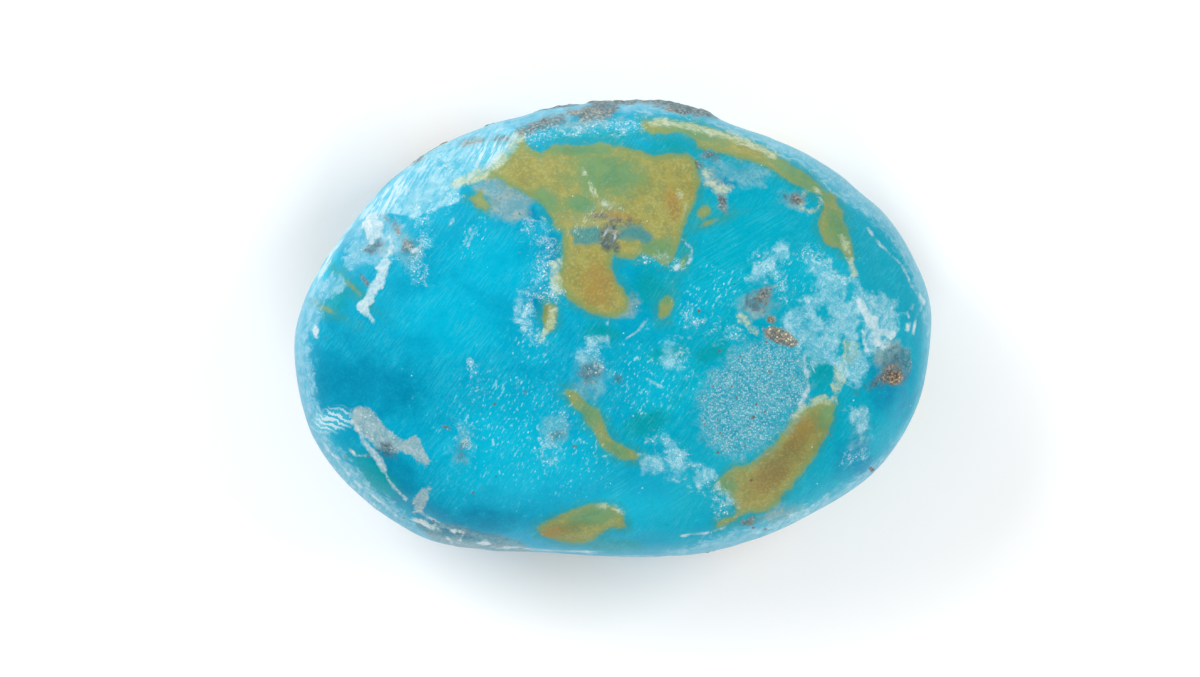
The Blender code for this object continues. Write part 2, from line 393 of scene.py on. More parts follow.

# %% [markdown]
# ## Quartz, chalk, white lines and cream edges
#
# Grey quartz sits in the lower left: a long inclusion with a tail and a leaf-shaped one. Chalky
# white mineral fills a bump and a jagged streak, and is smeared along short lines at the right.
# Thin bright lines run along cracks, and beside the long inclusion a patch is combed into white
# ribs. A few bright lines are painted highlights instead: on the long quartz's left edge and on
# the glassy facets of the lower left rim. In places the ochre's edge is worn to a cream colour,
# most of all at the upper left, and there and along the crescent's upper edge the cream line is
# partly a painted highlight on a ridge.

# %% Quartz, chalk and lines
INCLUSION = [
    (-13.0, -4.0), (-12.6, -3.8), (-12.1, -4.0), (-11.6, -4.6), (-11.1, -5.1), (-10.3, -5.7),
    (-10.4, -6.1), (-11.1, -6.2), (-11.6, -6.0), (-12.2, -5.5), (-12.8, -5.0), (-13.1, -4.6),
]
INCLUSION_TAIL = [
    (-10.6, -5.5), (-10.1, -5.5), (-9.85, -5.35), (-9.6, -5.6), (-9.5, -6.0), (-9.35, -6.3),
    (-9.1, -6.6), (-9.3, -7.05), (-9.5, -6.7), (-9.9, -6.35), (-10.4, -6.1),
]
LEAF = [(-9.9, -8.4), (-9.7, -8.1), (-9.1, -7.8), (-9.2, -8.5), (-9.5, -9.1), (-9.9, -9.2)]
QUARTZ_BALLS = [(-10.5, -9.5, 2.2, 1.4), (9.0, -9.3, 1.5, 1.4), (-14.0, 3.0, 2.6, 0.9)]
BUMP = [(-12.4, 5.1), (-12.2, 5.6), (-11.9, 5.7), (-11.5, 5.1), (-11.6, 4.6), (-12.0, 4.3)]
STREAK = [
    (-11.3, 3.5), (-11.05, 3.3), (-11.2, 2.9), (-11.45, 2.6), (-11.5, 2.1), (-11.75, 2.0),
    (-12.0, 1.7), (-12.05, 1.4), (-12.2, 1.1), (-11.95, 0.4), (-12.4, 0.8), (-12.7, 1.15),
    (-12.4, 1.3), (-12.2, 1.8), (-11.9, 2.3), (-11.7, 2.5), (-11.6, 2.8), (-11.75, 3.0),
]
CHALK_WIDER = 0.08
# Chalk that was smeared along a line: width, then the route
CHALK_LINES = [
    (0.42, [(12.35, 1.3), (12.7, 0.5), (12.8, 0.2)]), (0.50, [(13.0, 0.4), (13.15, -0.6)]),
    (0.40, [(13.1, 0.0), (13.8, -0.3)]), (0.24, [(12.5, 0.2), (12.45, -0.5), (12.55, -1.0)]),
    (0.16, [(-10.0, -9.45), (-9.5, -9.6), (-9.0, -9.85)]),
]
CHALK_SPOTS = [
    (-14.8, -0.1, 0.06, 0.22, 20), (-8.0, -10.05, 0.2, 0.06, -15), (-6.4, -10.7, 0.2, 0.05, -15),
    (-11.9, -8.9, 0.06, 0.2, 40), (3.1, 3.0, 0.2, 0.08, 60), (14.65, 0.1, 0.06, 0.16, -8),
    (14.7, 0.6, 0.04, 0.10, 0), (14.8, 1.0, 0.14, 0.05, 40), (13.5, -0.95, 0.09, 0.07, 20),
    (-9.9, 3.9, 0.15, 0.08, 20), (-0.3, -0.2, 0.04, 0.18, -5),
]
COMBED = [
    (-15.2, -5.0), (-14.9, -4.3), (-14.2, -3.85), (-13.4, -3.8), (-12.9, -4.2), (-13.0, -4.9),
    (-13.7, -5.2), (-14.6, -5.3),
]
# White lines: width, then the route. The first, on the long quartz's left edge, and the three
# along the glassy lower left rim, from x -8.9 to -5.2, are painted highlights.
WHITE_LINES = [
    (0.16, [(-13.0, -4.6), (-12.7, -5.0), (-12.4, -5.6)]),
    (0.30, [(-12.4, -5.6), (-12.0, -6.1), (-11.6, -6.6), (-11.4, -7.0)]),
    (0.09, [(-11.4, -7.0), (-11.2, -7.5), (-10.8, -8.0), (-10.3, -8.5)]),
    (0.10, [(-9.7, -9.1), (-9.0, -9.5), (-8.4, -9.9), (-7.4, -10.2)]),
    (0.18, [(9.5, -1.4), (9.6, -2.3), (9.7, -3.0), (9.3, -3.8)]),
    (0.08, [(12.7, 5.0), (13.35, 4.15), (14.2, 3.4), (14.5, 3.0), (14.9, 2.2), (15.5, 1.35)]),
    (0.06, [(15.5, 1.3), (15.1, 0.5), (14.95, -0.3)]),
    (0.30, [(-12.2, 5.4), (-11.95, 4.9)]),
    (0.08, [(-8.9, -9.75), (-8.3, -10.35), (-8.0, -10.8)]),
    (0.06, [(-7.4, -10.15), (-7.7, -10.7)]),
    (0.05, [(-6.4, -10.5), (-6.0, -10.9), (-5.2, -11.0)]),
    (0.05, [(-14.6, -5.5), (-12.9, -7.6), (-10.8, -9.3)]),
    (0.07, [(3.4, -10.3), (4.6, -10.2), (5.6, -9.9)]),
    (0.06, [(-5.4, -10.9), (-3.0, -11.1), (-0.5, -11.15)]),
    (0.05, [(-4.6, -11.2), (-1.0, -11.4), (2.0, -11.4)]),
    (0.09, [(3.4, 4.5), (3.9, 4.0), (3.8, 3.3)]),
    (0.12, [(-11.3, 5.0), (-11.0, 4.1), (-11.3, 3.5)]),
    (0.10, [(-0.5, 4.6), (-0.2, 5.0), (0.1, 4.8), (0.1, 4.5), (-0.1, 4.3)]),
    (0.07, [(-0.3, 5.2), (0.0, 4.7), (0.25, 4.9)]),
    (0.08, [(-11.2, 3.45), (-10.6, 3.5)]),
    (0.07, [(-7.4, 4.2), (-7.0, 5.2)]),
    (0.05, [(-7.2, 4.1), (-6.8, 5.1)]),
    (0.05, [(-8.2, 5.0), (-7.9, 5.5)]),
    (0.07, [(0.6, -0.5), (1.1, -0.2), (1.7, 0.5)]),
    (0.08, [(1.7, -2.5), (2.35, -2.9)]),
    (0.06, [(9.5, 1.6), (10.2, 0.8), (10.5, 0.2)]),
    (0.08, [(-13.1, -6.0), (-12.8, -6.3), (-12.2, -6.3)]),
    (0.06, [(11.2, -4.1), (11.9, -4.0), (12.3, -4.3)]),
]
# Cream lines: width, then the route. The first, at the upper left, and the one from x 2.0 to
# 8.0 along the crescent's upper edge are partly painted highlights on a ridge.
CREAM_LINES = [
    (0.46, [(-7.8, 7.2), (-6.8, 7.6), (-5.8, 8.2), (-5.1, 8.9), (-4.6, 9.7)]),
    (0.30, [(9.0, -4.3), (9.8, -3.8), (10.5, -3.5), (10.9, -3.6)]),
    (0.16, [(-0.7, -8.8), (0.0, -8.8), (0.5, -9.2)]),
    (0.30, [(4.6, 7.8), (4.8, 7.3), (5.2, 6.95), (5.8, 7.05)]),
    (0.10, [(10.0, 7.0), (10.3, 6.7), (10.4, 6.3), (10.1, 5.9), (9.7, 5.8)]),
    (0.06, [(9.7, 5.8), (9.4, 6.0), (9.3, 6.3), (9.5, 6.8), (10.0, 7.0)]),
    (0.60, [(11.7, -0.8), (12.0, -1.2), (11.7, -1.5)]),
    (0.50, [(11.3, -1.9), (11.3, -2.5), (11.1, -2.9)]),
    (0.26, [(6.3, 0.6), (6.7, 0.2), (7.1, -0.2)]),
    (0.34, [(-3.0, 0.9), (-3.1, 0.2), (-3.6, -0.4)]),
    (0.50, [(-2.85, 3.2), (-2.9, 2.5), (-2.7, 2.1)]),
    (0.10, [(-1.5, 7.9), (-0.6, 6.2), (0.4, 6.0)]),
    (0.10, [(3.2, 6.9), (3.6, 6.1), (3.4, 5.4)]),
    (0.14, [(-1.9, 10.75), (-1.2, 10.85), (-0.7, 10.8)]),
    (0.30, [(2.0, 10.3), (3.6, 10.15), (5.3, 9.75), (6.8, 9.25), (8.0, 8.65)]),
    (0.24, [(11.4, 4.6), (11.8, 3.6), (12.0, 2.6)]),
]

quartz = together(patches(INCLUSION, INCLUSION_TAIL, LEAF), all_of(ball, QUARTZ_BALLS))
white = all_of(stroke, WHITE_LINES)
chalk = together(
    patches(BUMP, STREAK) + CHALK_WIDER,
    all_of(stroke, CHALK_LINES),
    all_of(spot, CHALK_SPOTS),
)
keep("quartz", quartz)
keep("white", white)
keep("chalk", chalk)
keep("combed", patch(COMBED))
keep("cream", all_of(stroke, CREAM_LINES))

# %% [markdown]
# ## Rough rock, gold grains and the sugary patch
#
# Brown-grey rock clings to the top rim and to the back. Two places hold grains of pyrite that
# glitter like gold, and single rust-brown specks lie scattered over the face. At the right lies
# a round patch where the polish never took: it is pale and grainy like sugar.

# %% Rough rock, gold grains and sugar
ROCK_LEFT = [
    (-5.0, 9.8), (-4.2, 10.2), (-3.2, 10.6), (-2.4, 10.7), (-2.4, 10.3), (-3.0, 10.1),
    (-3.9, 9.8), (-4.5, 9.6),
]
ROCK_MIDDLE = [
    (-2.3, 10.9), (-1.6, 11.0), (-1.0, 11.3), (-0.2, 11.4), (0.3, 11.1), (0.1, 10.6),
    (-0.7, 10.4), (-1.4, 10.35), (-2.0, 10.5),
]
# The ridge along the rim: x, y and width
ROCK_RIDGE = [
    (-1.0, 11.5, 0.3), (0.6, 11.6, 0.3), (1.8, 11.6, 0.7), (3.0, 11.4, 1.1), (3.9, 11.15, 1.1),
    (4.6, 10.8, 0.5), (5.2, 10.5, 0.0),
]
BROWN_RUBBLE = [(7.0, 1.9), (7.5, 2.0), (7.8, 1.6), (7.7, 1.2), (7.2, 1.3)]
ROCK_SPOTS = [
    (-7.0, 9.35, 0.5, 0.12, 10), (-9.7, 8.5, 0.35, 0.12, 35), (-5.5, 9.4, 0.35, 0.2, 0),
    (13.75, -2.25, 0.60, 0.42, 45), (4.3, 8.2, 0.14, 0.16, 0),
    (4.7, 8.7, 0.25, 0.14, 30), (5.45, 6.25, 0.32, 0.2, 110), (9.15, 6.5, 0.22, 0.16, 0),
    (-10.75, 4.95, 0.35, 0.1, -50), (6.8, -9.6, 0.4, 0.2, 15), (-11.0, 5.35, 0.28, 0.1, -40),
    (-10.6, 4.75, 0.2, 0.13, -50), (-10.35, 4.35, 0.2, 0.07, -50), (-12.3, 2.4, 0.25, 0.07, -55),
    (7.6, 1.9, 0.3, 0.12, 20),
]
# Small rust-brown specks
BROWN_SPOTS = [
    (-8.35, -4.85, 0.15, 0.11, 0), (-8.15, -4.95, 0.12, 0.10, 0), (-5.9, -3.75, 0.10, 0.08, 20),
    (-4.35, -3.15, 0.10, 0.08, 0), (-4.35, -3.35, 0.08, 0.08, 0), (-6.95, -8.15, 0.09, 0.06, 0),
    (-12.55, 0.35, 0.10, 0.06, 0), (-14.25, -0.45, 0.10, 0.06, 0), (-4.65, 3.8, 0.08, 0.10, 0),
    (12.9, -7.0, 0.16, 0.11, -20), (7.0, -9.9, 0.09, 0.07, 0), (7.6, -10.0, 0.11, 0.08, 0),
    (-10.4, -9.4, 0.06, 0.05, 0), (9.9, -4.9, 0.09, 0.06, 40), (-1.9, -5.85, 0.14, 0.11, 0),
    (10.9, 0.4, 0.07, 0.05, 0), (3.3, -1.4, 0.07, 0.05, 0), (-13.3, -6.4, 0.14, 0.06, -40),
    (4.39, -3.2, 0.09, 0.06, 60), (4.34, -4.0, 0.07, 0.09, 0), (4.44, -4.5, 0.08, 0.07, 0),
    (4.47, -5.5, 0.09, 0.07, 20), (5.2, -6.15, 0.08, 0.08, 0), (6.2, -5.5, 0.08, 0.06, 0),
    (6.95, -4.4, 0.12, 0.08, 30), (7.1, -3.75, 0.08, 0.08, 0), (6.3, -1.4, 0.06, 0.08, 0),
    (8.2, -2.85, 0.10, 0.07, 10), (7.2, -2.05, 0.08, 0.06, 0), (6.8, -4.8, 0.10, 0.08, 0),
]
ROCK_BALLS = [
    (2.0, 11.4, 6.5, 1.0), (0.7, 11.6, 6.0, 1.1), (3.4, 11.1, 6.5, 1.0), (-3.2, 11.2, 5.2, 1.3),
    (-0.9, 11.6, 5.0, 1.2), (-5.4, 10.3, 4.4, 1.1), (-7.0, 7.6, 1.6, 2.7),
    (6.5, -7.8, 1.4, 2.8), (12.6, 2.2, 1.8, 2.2), (-12.2, -1.0, 1.6, 2.0), (0.0, -4.0, -0.9, 2.2),
    (-14.6, -3.6, 3.2, 1.0), (4.0, -11.2, 3.0, 1.1),
]
GOLD_BAND = [
    (7.4, 0.1), (8.2, 0.1), (8.8, -0.2), (9.2, -0.7), (8.8, -0.9), (8.1, -0.7), (7.5, -0.3),
]
GOLD_SPOTS = [(14.1, -2.45, 0.36, 0.26, 35), (7.9, 0.5, 0.3, 0.2, 0)]
GOLD_BALLS = [(7.0, -9.6, 2.4, 0.8), (-9.2, 7.6, 3.0, 0.9)]
SUGAR = [
    (6.3, -0.7), (7.8, -0.5), (9.1, -1.1), (9.7, -2.1), (9.7, -3.4), (8.8, -4.5), (7.8, -5.6),
    (6.6, -6.3), (5.5, -6.3), (4.8, -5.8), (4.3, -4.7), (4.3, -3.4), (4.9, -2.4), (5.8, -1.3),
]

rock = together(
    patches(ROCK_LEFT, ROCK_MIDDLE, BROWN_RUBBLE),
    tapered(ROCK_RIDGE),
    all_of(spot, ROCK_SPOTS),
    all_of(ball, ROCK_BALLS),
)
gold = together(patch(GOLD_BAND), all_of(spot, GOLD_SPOTS), all_of(ball, GOLD_BALLS))
sugar = patch(SUGAR)
keep("rock", rock)
keep("brown", all_of(spot, BROWN_SPOTS))
keep("gold", gold)
keep("sugar", sugar)

# %% [markdown]
# ## Clouds, glass, frosted flats, films and scuffs
#
# Grey clouds and a bluer haze lie just under the polish, with dark smoke in some of them. Two
# teal gaps break the ochre. At the far right and along the lower left rim the stone turns to
# grey glass. The flat at the upper left and a band along the rim were ground but not polished,
# so they look frosted and pale. Part of their paleness is painted sheen: the reflection of the
# bright surroundings in these steep faces, laid into their colour. Thin pale films cover the
# right-hand shoulder, the ground round the bump and a few islands. Scuffs are lines where the
# face holds many tiny chips.

# %% Clouds, glass, frost, films and scuffs
GREY_CLOUD = [
    (-6.9, 7.0), (-6.4, 7.5), (-5.6, 7.6), (-4.9, 7.2), (-4.3, 6.9), (-3.9, 6.4), (-4.1, 5.8),
    (-4.4, 5.4), (-5.5, 5.35), (-6.1, 5.9), (-6.4, 6.5),
]
LEFT_GAP = [
    (-2.05, 4.2), (-2.0, 4.95), (-1.45, 5.05), (-0.7, 5.1), (-0.55, 4.3), (-1.0, 4.25),
    (-1.5, 4.15),
]
RIGHT_GAP = [
    (0.3, 5.05), (1.2, 5.15), (2.0, 4.7), (2.05, 4.5), (1.65, 4.2), (1.1, 4.4), (0.7, 4.5),
    (0.25, 4.5),
]
DARK_MINERAL = [
    (-0.3, 5.3), (0.4, 4.9), (0.2, 4.4), (0.25, 4.1), (0.05, 3.75), (-0.4, 3.9), (-0.7, 4.25),
    (-0.6, 4.75),
]
GREY_GLASS = [
    (13.5, -1.1), (14.1, -0.8), (14.8, -1.1), (14.9, -1.9), (14.5, -2.8), (13.8, -2.8),
    (13.3, -2.6), (12.7, -3.0), (13.3, -2.0),
]
HAZE_PATCH = [
    (5.0, 8.6), (5.8, 8.3), (7.0, 8.2), (7.8, 7.8), (7.5, 7.2), (6.5, 7.2), (5.5, 7.5), (5.0, 7.8),
]
RIM_GLASS = [
    (-9.8, -9.3), (-9.0, -9.6), (-7.9, -9.75), (-6.9, -10.05), (-5.6, -10.25), (-4.6, -10.6),
    (-4.0, -11.2), (-6.2, -11.5), (-7.6, -11.2), (-8.8, -10.6), (-9.8, -9.9),
]
CLOUD_SPOTS = [
    (7.2, 1.2, 0.9, 0.6, 0), (8.9, 6.5, 0.5, 0.3, 0), (13.8, -1.4, 0.8, 0.8, 0),
    (-11.6, 4.0, 0.6, 0.3, 0), (8.5, -9.2, 0.8, 0.4, 20), (0.6, 1.2, 0.6, 0.5, 0),
    (5.0, 7.6, 0.4, 0.8, 20), (-1.6, 10.2, 1.1, 0.25, 5),
]
HAZE_SPOTS = [
    (12.3, -4.9, 0.45, 0.9, 0), (-1.1, -2.1, 0.8, 0.7, 0), (-2.8, -5.0, 0.7, 0.7, 0),
    (-7.5, -5.9, 0.3, 0.6, -10), (-1.4, -3.0, 0.9, 0.6, 0), (-10.3, 4.1, 0.8, 0.6, -40),
]
SMOKE_SPOTS = [
    (-1.1, -2.15, 0.5, 0.45, 20), (-2.8, -5.3, 0.35, 0.3, 0), (-7.5, -6.1, 0.12, 0.4, -10),
    (7.1, 1.3, 0.6, 0.35, 0), (13.9, -2.4, 0.6, 0.35, 15), (13.05, -2.8, 0.55, 0.15, 15),
    (-11.2, -6.1, 0.4, 0.3, -30), (-11.9, 4.0, 0.45, 0.22, 10),
    (0.25, -2.5, 0.2, 0.16, 0), (-10.1, 4.0, 0.3, 0.3, 0), (0.2, 5.4, 0.5, 0.1, -10),
    (4.8, 8.5, 0.3, 0.2, 0), (9.0, 6.5, 0.35, 0.2, 0),
]
# The flat at the upper left. Its pale colour is partly frost and partly painted sheen.
FROST_AND_SHEEN_FLAT = [
    (-15.7, 1.4), (-14.4, 3.7), (-12.7, 5.8), (-10.9, 7.5), (-9.2, 8.9), (-7.5, 9.9), (-5.7, 10.6),
    (-4.6, 9.7), (-5.4, 8.6), (-6.7, 7.7), (-7.5, 7.2), (-7.7, 6.3), (-8.7, 6.0), (-9.9, 5.5),
    (-11.0, 5.8), (-12.7, 5.4), (-13.9, 3.8), (-14.9, 1.6),
]
# The band along the rim: x, y and width. Half of it lies beyond the rim. Its pale colour is
# partly frost and partly painted sheen on the steep edge
RIM_FROST_AND_SHEEN = [
    (-15.8, 1.6, 1.4), (-15.9, -1.0, 1.5), (-15.7, -3.5, 1.7), (-14.7, -6.1, 1.7),
    (-13.0, -8.1, 1.6), (-11.2, -9.5, 1.5), (-9.6, -10.6, 1.3), (-8.4, -11.1, 1.2),
    (-5.4, -11.5, 0.7), (-1.0, -11.6, 0.2), (1.6, -11.6, 0.3), (3.6, -11.3, 0.7),
    (6.4, -10.6, 1.3), (8.6, -10.0, 1.0), (11.2, -8.5, 0.8), (13.6, -6.7, 0.5), (15.4, -3.9, 0.2),
    (15.95, -1.2, 0.4), (16.0, -0.2, 0.7), (15.8, 1.3, 0.9), (15.3, 3.1, 1.1), (14.4, 5.0, 1.4),
    (13.3, 6.4, 1.9), (11.5, 7.6, 2.0), (10.2, 8.7, 1.7), (7.5, 9.9, 1.3), (4.5, 11.0, 1.0),
    (1.2, 11.4, 1.1), (-2.0, 11.2, 1.2), (-4.6, 10.7, 1.3),
]
# Frosted islands on the stone's side, cut from the wobble
ISLAND_SIZE = 2.2
ISLAND_CUT = 0.14
ISLAND_TOP = 4.8
ISLAND_FADE = 2.0
SHOULDER_FILM = [
    (9.7, 3.5), (10.4, 3.4), (11.2, 2.6), (12.0, 2.3), (12.7, 1.8), (14.0, 1.4), (14.0, 0.3),
    (13.6, -0.7), (12.8, -1.0), (12.7, -2.3), (12.1, -2.9), (11.7, -2.5), (11.0, -1.9),
    (10.3, -1.8), (9.7, -1.5), (9.3, -0.9), (8.6, -0.2), (8.2, 0.6), (9.0, 1.0), (9.6, 1.6),
    (10.2, 1.8), (9.9, 2.6),
]
BUMP_FILM = [
    (-13.4, 3.6), (-12.9, 5.0), (-12.4, 5.6), (-11.4, 5.8), (-10.5, 5.1), (-10.2, 4.2),
    (-10.9, 3.7), (-11.8, 3.3), (-12.5, 3.2), (-13.0, 2.9),
]
LEFT_FILM = [
    (-15.2, 1.6), (-14.6, 2.4), (-14.0, 2.7), (-13.2, 2.4), (-13.6, 1.8), (-14.4, 1.4),
    (-14.6, 0.6), (-15.0, -0.3), (-15.6, -0.2), (-15.6, 0.8),
]
FILM_ISLANDS = [
    [(-1.9, -1.5), (-1.15, -0.55), (-0.25, -0.4), (-0.3, -0.7), (-0.9, -0.8), (-1.5, -1.4)],
    [(2.7, -5.5), (3.15, -5.6), (3.6, -6.2), (3.65, -6.7), (3.2, -7.4), (2.9, -7.1), (2.7, -6.4)],
    [(1.4, -6.2), (2.0, -6.3), (2.8, -6.9), (3.1, -7.6), (2.4, -7.2), (1.6, -6.9)],
    [(3.9, -6.7), (4.5, -7.0), (5.0, -7.1), (4.8, -7.7), (4.2, -7.7)],
    [(11.9, -3.9), (12.6, -4.1), (12.7, -5.0), (12.3, -5.4), (12.0, -5.0), (11.8, -4.4)],
    [(5.2, -7.9), (6.1, -8.4), (6.3, -8.9), (5.6, -8.6)],
    [(-4.7, 1.4), (-4.2, 1.2), (-4.0, 0.3), (-4.3, -0.3), (-4.8, 0.4)],
    [(6.9, 3.0), (7.6, 3.6), (8.6, 4.4), (8.9, 4.0), (8.1, 2.9), (7.3, 2.1), (6.8, 2.3)],
    [(7.2, -10.2), (8.6, -9.5), (10.0, -8.9), (9.6, -9.2), (8.0, -10.1)],
    [(2.5, -1.9), (2.6, -1.1), (2.9, -0.9), (3.2, -1.3), (3.1, -2.1), (2.8, -2.2)],
    [(12.9, 1.5), (13.7, 1.3), (14.1, 0.8), (14.0, 0.0), (13.6, -0.6), (13.1, -0.8), (12.8, 0.0)],
]
# Holes in the films, where deep blue shows
FILM_HOLES = [
    (12.3, -0.1, 0.16, 0.6, 10), (10.5, 0.8, 0.25, 0.4, 20), (9.6, 0.55, 0.75, 0.09, -42),
    (11.8, 1.85, 0.42, 0.45, 0), (11.4, -1.0, 0.3, 0.5, 0),
]
# Scuffs: width, then the route
SCUFF_LINES = [
    (0.9, [(-4.0, 5.0), (-3.4, 4.3), (-3.4, 3.3), (-3.8, 2.5), (-3.5, 1.9), (-2.9, 1.7)]),
    (0.45, [(-3.9, 2.2), (-4.3, 1.2), (-4.4, 0.3), (-3.8, -0.3), (-3.2, -0.6)]),
    (0.4, [(-0.9, -0.9), (-0.7, -1.7), (-1.1, -2.2)]),
    (0.5, [(2.2, -5.4), (2.9, -6.2), (3.6, -6.6), (4.3, -7.4), (5.2, -7.9)]),
    (0.4, [(4.0, -7.9), (5.0, -8.0)]),
    (0.5, [(5.2, -8.4), (5.6, -9.1)]),
    (0.4, [(11.6, -6.6), (12.4, -6.3)]),
    (0.6, [(-9.4, 5.4), (-9.3, 4.4), (-9.9, 3.4), (-9.6, 2.6)]),
    (0.6, [(-9.9, 6.0), (-9.0, 6.2), (-8.0, 6.7)]),
    (0.3, [(-7.9, -4.6), (-7.4, -5.0), (-7.3, -6.1)]),
    (0.2, [(-6.9, -1.7), (-6.8, -3.2)]),
    (0.7, [(-2.6, -4.4), (-3.3, -5.6), (-3.0, -6.6)]),
    (0.5, [(7.2, 3.6), (8.2, 2.6), (8.6, 1.6)]),
    (0.5, [(3.8, 0.6), (5.4, -0.4), (6.2, -0.2)]),
    (0.4, [(1.7, 3.4), (2.8, 3.5), (3.2, 3.0)]),
    (0.3, [(3.3, -0.6), (3.4, -1.6)]),
    (0.5, [(9.3, 3.8), (10.6, 3.2), (11.4, 2.3)]),
    (0.3, [(9.2, -1.0), (9.8, -2.2)]),
    (0.6, [(-8.8, 8.6), (-8.0, 8.0)]),
    (0.6, [(-4.2, 9.5), (-2.5, 10.0), (-0.8, 10.1), (1.2, 10.1)]),
]

keep("cloud", together(patch(GREY_CLOUD), all_of(spot, CLOUD_SPOTS)))
keep("haze", together(patch(HAZE_PATCH), all_of(spot, HAZE_SPOTS)))
keep("smoke", together(patch(DARK_MINERAL), all_of(spot, SMOKE_SPOTS)))
keep("gap", patches(LEFT_GAP, RIGHT_GAP))
keep("glass", patches(RIM_GLASS, GREY_GLASS))
keep("frost", patch(FROST_AND_SHEEN_FLAT))
above_islands = np.maximum(0, points[:, 2] - ISLAND_TOP)
islands = ISLAND_SIZE * (wobble - ISLAND_CUT) - ISLAND_FADE * above_islands
# The two films at the left are smooth and soft, as the rim's band is
keep("rim", together(tapered(RIM_FROST_AND_SHEEN), islands, patches(BUMP_FILM, LEFT_FILM)))
film = np.minimum(patches(SHOULDER_FILM, *FILM_ISLANDS), -all_of(spot, FILM_HOLES))
scuff = all_of(stroke, SCUFF_LINES)
keep("film", film)
keep("scuff", scuff)

# %% [markdown]
# ## Light and dark turquoise
#
# The blue isn't even. It is deep at the left end, bright across the lower middle and a little
# green near the rim. Soft ovals mark where the tone is lighter, deeper or greener. Two more
# mark where the grinding left short white strokes, and where its scratches run nearly level.
# Two of the light ovals, on the flat at the upper left, are painted highlights, and the deep
# ovals along the lower left rim are partly painted shade.

# %% Tones of the blue
# The ovals at x -11.2 and -6.4, on the flat at the upper left, are painted highlights; the rest
# are lighter blue.
BRIGHT_PARTS = [
    (-5.0, -6.5, 3.8, 2.2, -5), (-8.0, 0.5, 2.6, 2.2, 0), (1.5, -9.2, 3.6, 1.2, 0),
    (6.5, 4.0, 2.6, 1.6, 30), (-6.0, 3.0, 2.2, 1.5, 0), (12.9, 0.6, 1.2, 1.6, 0),
    (3.0, -3.0, 1.8, 1.4, 0), (-11.2, 6.7, 2.0, 0.8, 40), (-6.4, 8.7, 1.2, 0.6, 40),
    (-14.5, 3.0, 1.2, 0.6, 60), (10.6, 2.8, 0.9, 0.9, 0), (-12.8, -8.2, 3.0, 0.8, -42),
    (9.5, -9.4, 3.0, 0.7, 32),
]
# The ovals at x -10.8, -8.5 and -6.5 along the lower left rim are partly deeper blue and partly
# painted shade.
DEEP_PARTS = [
    (-13.0, -2.6, 2.2, 2.2, 0), (-10.8, -2.9, 1.6, 1.4, 0), (-10.8, -7.3, 2.0, 1.2, -40),
    (-3.0, 4.0, 0.5, 1.0, 0), (12.6, -7.0, 1.5, 1.0, 40), (-3.75, 1.25, 0.5, 1.0, 0),
    (-8.5, -9.3, 2.2, 0.7, -25), (5.4, 7.2, 0.8, 0.4, 0), (13.9, -2.5, 1.0, 2.0, 10),
    (-4.0, 5.6, 0.5, 0.4, -40), (8.5, -6.5, 2.2, 0.9, 48), (-1.6, -9.8, 1.7, 0.5, 8),
    (-6.5, -9.4, 2.4, 0.7, -5), (12.2, -5.9, 0.9, 0.7, 0),
]
TEAL_PARTS = [
    (-11.8, -7.3, 2.2, 0.7, -42), (2.9, 9.2, 1.2, 0.5, 0), (-13.6, 1.6, 0.6, 0.9, 0),
    (10.3, -2.2, 0.9, 0.9, 0), (-1.0, 9.6, 2.6, 0.4, 0), (0.2, -10.8, 2.0, 0.4, 0),
    (1.7, 2.0, 1.3, 1.4, 0), (-0.5, -0.2, 1.2, 0.6, 0), (2.6, -1.3, 1.2, 0.5, 10),
    (-1.35, 4.55, 1.0, 0.5, 0), (1.15, 4.6, 1.0, 0.5, 0),
    (1.6, -4.6, 1.6, 0.8, 20), (4.9, -1.2, 1.2, 0.6, 20),
]
FLECKED_PARTS = [
    (-5.0, -4.8, 3.8, 3.0, 0), (-1.8, -6.2, 2.0, 2.0, 0), (1.8, -2.6, 2.4, 2.0, 0),
    (5.0, 1.6, 2.2, 1.6, 30), (-1.0, 5.6, 1.8, 0.8, 20), (-4.0, -1.0, 1.2, 1.2, 0),
    (2.4, 3.4, 1.0, 0.4, 0), (9.2, 2.8, 1.4, 1.4, 0), (-1.4, 9.9, 2.8, 0.35, 4),
    (-7.0, 4.6, 1.2, 0.8, 60),
]
LEVEL_SCRATCHES = [(6.6, 3.8, 3.2, 2.2, 30), (1.5, -8.0, 3.0, 1.6, 10)]

keep("tone", all_of(glow, BRIGHT_PARTS) - all_of(glow, DEEP_PARTS))
keep("teal", all_of(glow, TEAL_PARTS))
keep("flecked", all_of(glow, FLECKED_PARTS))
keep("level", all_of(glow, LEVEL_SCRATCHES))

# %% [markdown]
# ## Relief
#
# Only what stands out or lies deep moves the skin. Rock and gold rubble are lumpy, the bump at
# the upper left stands proud, quartz and the sugary patch lie a little low, scuffs are chipped
# out, and white lines are shallow cracks. Heights are in millimetres. The base stays flat.

# %% Raise and cut the skin
POLISH_WAVE = 0.014
POLISH_PER_MM = 0.8
LUMPS_PER_MM = 1.5
# Chips: how deep, where in a scuff or a film they start, and where their noise cuts them out
CHIP_DEPTH = 0.07
CHIPS_PER_MM = 1.9
SCUFF_EDGE = (-0.2, 0.3)
FILM_EDGE = (-0.2, 0.5)
FILM_CHIPS = 0.5
CHIP_CUT = (0.05, 0.35)
BASE_LEVEL = 0.03
BASE_FADE = 0.4
